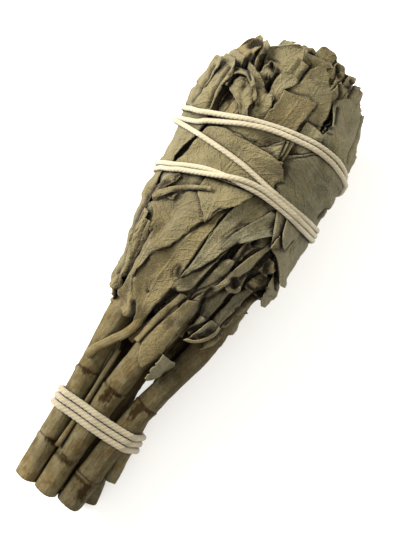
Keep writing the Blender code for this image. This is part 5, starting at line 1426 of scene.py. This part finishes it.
outward = head_line[-1] - np.array((way_along[-1], -lean[-1], axis_height(way_along[-1])))
outward -= ahead * outward.dot(ahead)
outward /= np.linalg.norm(outward)
sideways = np.cross(ahead, outward)
if sideways[0] > 0:
    sideways = -sideways
knot = knot_line(head_line[-1] + outward * 0.3, ahead, outward, sideways)
head_line = spaced_line(np.vstack((head_line[:-1], knot)), 0.36)
print("head string:", round(float(np.linalg.norm(np.diff(head_line, axis=0), axis=1).sum())),
      "mm with its knot")

# %% [markdown]
# The string round the stems is wound over round rods with gaps between them, so its height is found by
# looking in from outside at the finished stems, with a ray, and it is pulled tight in the same way.

# %% String round the stems
corners, faces = [], []
for pipe in stem_pieces:
    start = len(corners)
    corners += [v.co.copy() for v in pipe.data.vertices]
    faces += [tuple(start + i for i in face.vertices) for face in pipe.data.polygons]
stems_seen = BVHTree.FromPolygons(corners, faces)
STEM_TURNS = np.arange(120.0, 1235.0, 3.0)
stem_along = 21.1 + 2.15 * (STEM_TURNS - 150) / 360 - 1.0 * np.sin(np.radians(STEM_TURNS))
stem_reach = []
for turn, along in zip(STEM_TURNS, stem_along):
    a = math.radians(turn)
    away = Vector((0, -math.sin(a), math.cos(a)))
    best = 3.0
    for shift in (-0.8, 0.0, 0.8):
        middle = Vector(in_frame(along + shift, 1.0, axis_height(along) - 0.3)[0])
        hit = stems_seen.ray_cast(middle + away * 0.06, -away, 0.06)[0]
        if hit is not None:
            best = max(best, (hit - middle).length / MM)
    stem_reach.append(best)
stem_reach = np.array(stem_reach) + STRING_RADIUS * STEM_STRING_THICKER - 0.15
stem_free = tightened(stem_reach, stem_reach.copy(), 3.0)
a = np.radians(STEM_TURNS)
stem_line_points = np.column_stack((stem_along, 1.0 - stem_free * np.sin(a),
                                    axis_height(stem_along) - 0.3 + stem_free * np.cos(a)))
ahead = stem_line_points[-1] - stem_line_points[-3]
ahead /= np.linalg.norm(ahead)
outward = stem_line_points[-1] - np.array((stem_along[-1], 1.0, float(axis_height(stem_along[-1])) - 0.3))
outward -= ahead * outward.dot(ahead)
outward /= np.linalg.norm(outward)
sideways = np.cross(ahead, outward)
if sideways[0] < 0:
    sideways = -sideways
knot = knot_line(stem_line_points[-1] + outward * 0.3, ahead, outward, sideways)
stem_string_line = spaced_line(np.vstack((stem_line_points[:-1], knot)), 0.36)
stem_string_line[:, 2] = np.maximum(stem_string_line[:, 2], STRING_RADIUS)

string_pieces = []
for name, line, node, thicker in (("head_twine", head_line, "head_string", 1.0),
                                  ("stem_twine", stem_string_line, "stem_string", STEM_STRING_THICKER)):
    pipe, run, angle, around, share = rod(name, line, lambda run,
                                          angle: strand_radius(run, angle) * thicker, 20)
    # painted shade: the grooves between the strands are darkened in the colour; the string round the stems is
    # darker all over
    dark = 0.42 * groove_depth(run, angle) + (0.5 if name == "stem_twine" else 0.0)
    store_tone(pipe, 0.5 + 0.5 * waves(run, angle, 6.0, 2), np.full(len(run), 0.5), dark, 1 - share)
    store_place(pipe, run, around * 6)
    close_rod(pipe)
    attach(pipe, "root")
    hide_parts(node)
    string_pieces.append(pipe)
    print(name, len(pipe.data.polygons), "faces")

# %% [markdown]
# ## Finishes
# All three finishes are dull and dry. The tone stored on the points gives each leaf its own colour, with some
# painted light and shade, and paints the hollows dark as shade; narrow cracks are darkened as painted shade
# too. The rest is pattern: soft blotches, a fine net of veins, fibre and speckle. A bump turns the finest of
# these into relief, because at a tenth of a millimetre they are too small to model.

# %% Node helpers
def fresh_material(name, roughness, sheen):
    """A material with only a shader and its output."""
    finish = bpy.data.materials.new(name)
    finish.use_nodes = True
    nodes, links = finish.node_tree.nodes, finish.node_tree.links
    shader = nodes["Principled BSDF"]
    shader.inputs["Roughness"].default_value = roughness
    shader.inputs["Specular IOR Level"].default_value = 0.08
    shader.inputs["Sheen Weight"].default_value = sheen
    shader.inputs["Sheen Roughness"].default_value = 0.6
    return finish, nodes, links, shader


def maths(nodes, links, operation, first, second=None):
    """A Math node with its inputs linked or set."""
    node = nodes.new("ShaderNodeMath")
    node.operation = operation
    for slot, value in enumerate((first, second)):
        if value is None:
            continue
        if isinstance(value, (int, float)):
            node.inputs[slot].default_value = value
        else:
            links.new(value, node.inputs[slot])
    return node.outputs[0]


def blend(nodes, links, share, first, second):
    """Mixes two colours."""
    node = nodes.new("ShaderNodeMix")
    node.data_type = "RGBA"
    for socket, value in ((node.inputs["Factor"], share), (node.inputs["A"], first),
                          (node.inputs["B"], second)):
        if isinstance(value, (int, float)):
            socket.default_value = value
        elif isinstance(value, tuple):
            socket.default_value = (*value, 1.0)
        else:
            links.new(value, socket)
    return node.outputs["Result"]


def noise(nodes, links, where, scale, detail=3.0, roughness=0.6):
    """Cloudy noise from 0 to 1."""
    node = nodes.new("ShaderNodeTexNoise")
    node.inputs["Scale"].default_value = scale
    node.inputs["Detail"].default_value = detail
    node.inputs["Roughness"].default_value = roughness
    links.new(where, node.inputs["Vector"])
    return node.outputs["Fac"]


def spread_out(nodes, links, value, low, high):
    """Stretches the values between low and high over 0 to 1."""
    node = nodes.new("ShaderNodeMapRange")
    links.new(value, node.inputs["Value"])
    node.inputs["From Min"].default_value = low
    node.inputs["From Max"].default_value = high
    return node.outputs["Result"]


def stored_tone(nodes, links):
    """Warmth, light, darkness and nearness to the rim, as stored on the points."""
    stored = nodes.new("ShaderNodeAttribute")
    stored.attribute_name = "leaf_tone"
    parts = nodes.new("ShaderNodeSeparateColor")
    links.new(stored.outputs["Color"], parts.inputs["Color"])
    return parts.outputs["Red"], parts.outputs["Green"], parts.outputs["Blue"], stored.outputs["Alpha"]


def with_painted_crack_shade(nodes, links, reach, colour, deep_colour):
    """The colour, turned to the deep one where the surface has another one close in front of it: painted
    shade in cracks and crevices.
    """
    nearby = nodes.new("ShaderNodeAmbientOcclusion")
    nearby.samples = 8
    nearby.inputs["Distance"].default_value = reach
    open_share = spread_out(nodes, links, nearby.outputs["AO"], 0.25, 0.8)
    return blend(nodes, links, open_share, deep_colour, colour)


print("node helpers ready")

# %% Dried leaf
LEAF_GREY_GREEN = (0.109, 0.101, 0.059)
LEAF_TAN = (0.144, 0.110, 0.044)
LEAF_BLOTCH = (0.126, 0.099, 0.046)
LEAF_HOLLOW_SHADE = (0.012, 0.0068, 0.0010)

leaf_finish, nodes, links, shader = fresh_material("dried_sage_leaf", 0.85, 0.06)
warmth, light, dark, rim = stored_tone(nodes, links)
spot = nodes.new("ShaderNodeTexCoord")
on_object, on_leaf = spot.outputs["Object"], spot.outputs["UV"]
blotch = spread_out(nodes, links, noise(nodes, links, on_object, 130, 3), 0.3, 0.7)
patch = spread_out(nodes, links, noise(nodes, links, on_object, 420, 4), 0.25, 0.75)
pebble = spread_out(nodes, links, noise(nodes, links, on_object, 1250, 2), 0.3, 0.7)
speckle = spread_out(nodes, links, noise(nodes, links, on_object, 2600, 2), 0.25, 0.75)
colour = blend(nodes, links, warmth, LEAF_GREY_GREEN, LEAF_TAN)
colour = blend(nodes, links, maths(nodes, links, "MULTIPLY", blotch, 0.45), colour, LEAF_BLOTCH)
place = nodes.new("ShaderNodeSeparateXYZ")
links.new(on_leaf, place.inputs["Vector"])
s, t = place.outputs["X"], place.outputs["Y"]
t_side = maths(nodes, links, "ABSOLUTE", t)
side_vein = maths(nodes, links, "SUBTRACT", s, maths(nodes, links, "MULTIPLY", t_side, 0.9))
side_vein = maths(nodes, links, "ADD", side_vein, maths(nodes, links, "MULTIPLY",
    noise(nodes, links, on_object, 300, 2), 0.25))
side_vein = maths(nodes, links, "PINGPONG", side_vein, 0.17)
side_vein = spread_out(nodes, links, side_vein, 0.035, 0.0)
midrib = spread_out(nodes, links, t_side, 0.05, 0.0)
net = nodes.new("ShaderNodeTexVoronoi")
net.feature = "DISTANCE_TO_EDGE"
net.inputs["Scale"].default_value = 1500
links.new(on_object, net.inputs["Vector"])
net_line = spread_out(nodes, links, net.outputs["Distance"], 0.16, 0.0)
vein = maths(nodes, links, "MAXIMUM", maths(nodes, links, "MULTIPLY", side_vein, 0.7), midrib)
bright = maths(nodes, links, "ADD", 0.55, maths(nodes, links, "MULTIPLY", light, 0.55))
bright = maths(nodes, links, "ADD", bright, maths(nodes, links, "MULTIPLY", patch, 0.28))
bright = maths(nodes, links, "ADD", bright, maths(nodes, links, "MULTIPLY", speckle, 0.12))
bright = maths(nodes, links, "ADD", bright, maths(nodes, links, "MULTIPLY", vein, 0.1))
bright = maths(nodes, links, "SUBTRACT", bright, maths(nodes, links, "MULTIPLY", net_line, 0.06))
bright = maths(nodes, links, "ADD", bright, maths(nodes, links, "MULTIPLY", rim, 0.12))
scaled = nodes.new("ShaderNodeVectorMath")
scaled.operation = "SCALE"
links.new(colour, scaled.inputs[0])
links.new(bright, scaled.inputs["Scale"])
# painted shade: the colour turns near black in narrow cracks, and where the stored darkness marks hidden
# hollows and deep cracks
shaded = with_painted_crack_shade(nodes, links, 0.0015, scaled.outputs[0], LEAF_HOLLOW_SHADE)
links.new(blend(nodes, links, dark, shaded, LEAF_HOLLOW_SHADE), shader.inputs["Base Color"])
relief = maths(nodes, links, "ADD", maths(nodes, links, "MULTIPLY", vein, 0.6),
               maths(nodes, links, "MULTIPLY", patch, 0.7))
relief = maths(nodes, links, "ADD", relief, maths(nodes, links, "MULTIPLY", pebble, 0.45))
relief = maths(nodes, links, "ADD", relief, maths(nodes, links, "MULTIPLY", speckle, 0.25))
relief = maths(nodes, links, "SUBTRACT", relief, maths(nodes, links, "MULTIPLY", net_line, 0.16))
bump = nodes.new("ShaderNodeBump")
bump.inputs["Strength"].default_value = 1.0
bump.inputs["Distance"].default_value = 0.0005
links.new(relief, bump.inputs["Height"])
links.new(bump.outputs["Normal"], shader.inputs["Normal"])
print("leaf finish has", len(nodes), "nodes")

# %% Bark and cotton
BARK_DULL = (0.086, 0.071, 0.031)
BARK_WARM = (0.138, 0.096, 0.033)
BARK_GREY = (0.168, 0.146, 0.086)
BARK_RUSTY = (0.088, 0.054, 0.016)
BARK_SCAR_AND_SHADE = (0.019, 0.0105, 0.0015)

bark_finish, nodes, links, shader = fresh_material("sage_bark", 0.75, 0.0)
warmth, light, dark, _ = stored_tone(nodes, links)
spot = nodes.new("ShaderNodeTexCoord")
on_object, along_bark = spot.outputs["Object"], spot.outputs["UV"]
stretch = nodes.new("ShaderNodeMapping")
stretch.inputs["Scale"].default_value = (1.2, 14.0, 1.0)
links.new(along_bark, stretch.inputs["Vector"])
fibre = spread_out(nodes, links, noise(nodes, links, stretch.outputs["Vector"], 1.6, 6, 0.7), 0.3, 0.7)
blotch = spread_out(nodes, links, noise(nodes, links, on_object, 240, 4), 0.3, 0.7)
fleck = spread_out(nodes, links, noise(nodes, links, on_object, 1500, 3), 0.3, 0.7)
colour = blend(nodes, links, warmth, BARK_DULL, BARK_WARM)
colour = blend(nodes, links, maths(nodes, links, "MULTIPLY", blotch, 0.75), colour, BARK_GREY)
rust = spread_out(nodes, links, noise(nodes, links, on_object, 330, 3), 0.48, 0.66)
colour = blend(nodes, links, maths(nodes, links, "MULTIPLY", rust, 0.7), colour, BARK_RUSTY)
bright = maths(nodes, links, "ADD", 0.4, maths(nodes, links, "MULTIPLY", light, 0.7))
bright = maths(nodes, links, "ADD", bright, maths(nodes, links, "MULTIPLY", fibre, 0.3))
bright = maths(nodes, links, "ADD", bright, maths(nodes, links, "MULTIPLY", fleck, 0.3))
scaled = nodes.new("ShaderNodeVectorMath")
scaled.operation = "SCALE"
links.new(colour, scaled.inputs[0])
links.new(bright, scaled.inputs["Scale"])
# painted shade: the bark turns near black in narrow cracks; the stored darkness adds the bark's own scars and
# joints, and painted shade on the back stems and the stalk behind
shaded = with_painted_crack_shade(nodes, links, 0.0015, scaled.outputs[0], BARK_SCAR_AND_SHADE)
links.new(blend(nodes, links, dark, shaded, BARK_SCAR_AND_SHADE), shader.inputs["Base Color"])
bump = nodes.new("ShaderNodeBump")
bump.inputs["Strength"].default_value = 1.0
bump.inputs["Distance"].default_value = 0.00035
links.new(maths(nodes, links, "ADD", fibre, maths(nodes, links, "MULTIPLY", fleck, 0.5)),
          bump.inputs["Height"])
links.new(bump.outputs["Normal"], shader.inputs["Normal"])

COTTON = (0.335, 0.290, 0.187)
COTTON_STAIN = (0.27, 0.222, 0.135)
COTTON_FUZZ = (0.24, 0.20, 0.125)
COTTON_SHADE = (0.17, 0.135, 0.075)
COTTON_GAP_SHADE = (0.085, 0.058, 0.026)
cotton_finish, nodes, links, shader = fresh_material("cotton_twine", 0.9, 0.25)
dark = stored_tone(nodes, links)[2]
spot = nodes.new("ShaderNodeTexCoord")
fuzz = spread_out(nodes, links, noise(nodes, links, spot.outputs["Object"], 1800, 4, 0.7), 0.25, 0.75)
stain = spread_out(nodes, links, noise(nodes, links, spot.outputs["Object"], 160, 3), 0.35, 0.75)
colour = blend(nodes, links, maths(nodes, links, "MULTIPLY", stain, 0.3), COTTON, COTTON_STAIN)
colour = blend(nodes, links, maths(nodes, links, "MULTIPLY", fuzz, 0.25), colour, COTTON_FUZZ)
# painted shade: darker in the grooves between the strands, and near black where the string meets what lies
# close to it
groove_shaded = blend(nodes, links, dark, colour, COTTON_SHADE)
links.new(with_painted_crack_shade(nodes, links, 0.0005, groove_shaded, COTTON_GAP_SHADE), shader.inputs["Base Color"])
bump = nodes.new("ShaderNodeBump")
bump.inputs["Strength"].default_value = 0.8
bump.inputs["Distance"].default_value = 0.00015
links.new(fuzz, bump.inputs["Height"])
links.new(bump.outputs["Normal"], shader.inputs["Normal"])

for piece, finish in [(p, leaf_finish) for p in leaf_groups + [core]] + [(p,
    bark_finish) for p in stem_pieces + [stalks]] + [
        (p, cotton_finish) for p in string_pieces]:
    piece.data.materials.clear()
    piece.data.materials.append(finish)
print("finishes:", leaf_finish.name, bark_finish.name, cotton_finish.name)

# %% [markdown]
# ## Riding on the frame
# All of these pieces belong to one body that doesn't move in itself, as a tied bundle is stiff. The leaves
# and the core stand for the solid head, and the stalks grow from it.

# %% Ride and replace
for piece in leaf_groups + [core, stalks]:
    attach(piece, "root")
    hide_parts("leaf_head")
print("pieces:", len(leaf_groups) + 2 + len(stem_pieces) + len(string_pieces))

# %% [markdown]
# ## Table and light
# The stick lies on a plain white table under a large soft light from the upper left of the picture, which
# leaves the right side of the head in a soft shade. A weak even light from all round keeps the shadows open.

# %% Table and light
bpy.ops.mesh.primitive_plane_add(size=3.0, location=(0, 0, -0.0002))
table = bpy.context.object
table.name = "white_table"
white, nodes, links, shader = fresh_material("white_table", 0.9, 0.0)
shader.inputs["Base Color"].default_value = (0.92, 0.92, 0.92, 1)
table.data.materials.append(white)
table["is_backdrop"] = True


def soft_light(name, place, size, watts, tint):
    """A square light that faces the stick."""
    lamp = bpy.data.lights.new(name, "AREA")
    lamp.size = size
    lamp.energy = watts
    lamp.color = tint
    holder = bpy.data.objects.new(name, lamp)
    holder.location = place
    holder.rotation_euler = (Vector((0, 0, 0.02)) - Vector(place)).to_track_quat("-Z", "Y").to_euler()
    bpy.context.scene.collection.objects.link(holder)
    return holder


soft_light("key_light", (0.10, 0.74, 0.42), 0.36, 21.5, (1.0, 0.99, 0.975))
soft_light("fill_light", (0.35, -0.45, 0.6), 0.9, 6.5, (1.0, 0.98, 0.94))
sky = bpy.data.worlds.new("soft_room")
sky.use_nodes = True
sky.node_tree.nodes["Background"].inputs["Color"].default_value = (1.0, 0.98, 0.935, 1)
sky.node_tree.nodes["Background"].inputs["Strength"].default_value = 0.72
bpy.context.scene.world = sky
bpy.context.scene.view_settings.view_transform = "Standard"

# %% [markdown]
# ## Size
# The dressed stick has to stay the size of its solids, so both boxes are printed.

# %% Size and end
dressed_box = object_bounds()
for label, box in (("solids", solid_box), ("dressed", dressed_box)):
    print(label, [[round(v * 1000, 1) for v in corner] for corner in box])
shown = [o for o in bpy.data.objects if o.type == "MESH" and not o.hide_render]
triangles = sum(sum(len(f.vertices) - 2 for f in o.data.polygons) for o in shown)
print("triangles shown:", triangles)
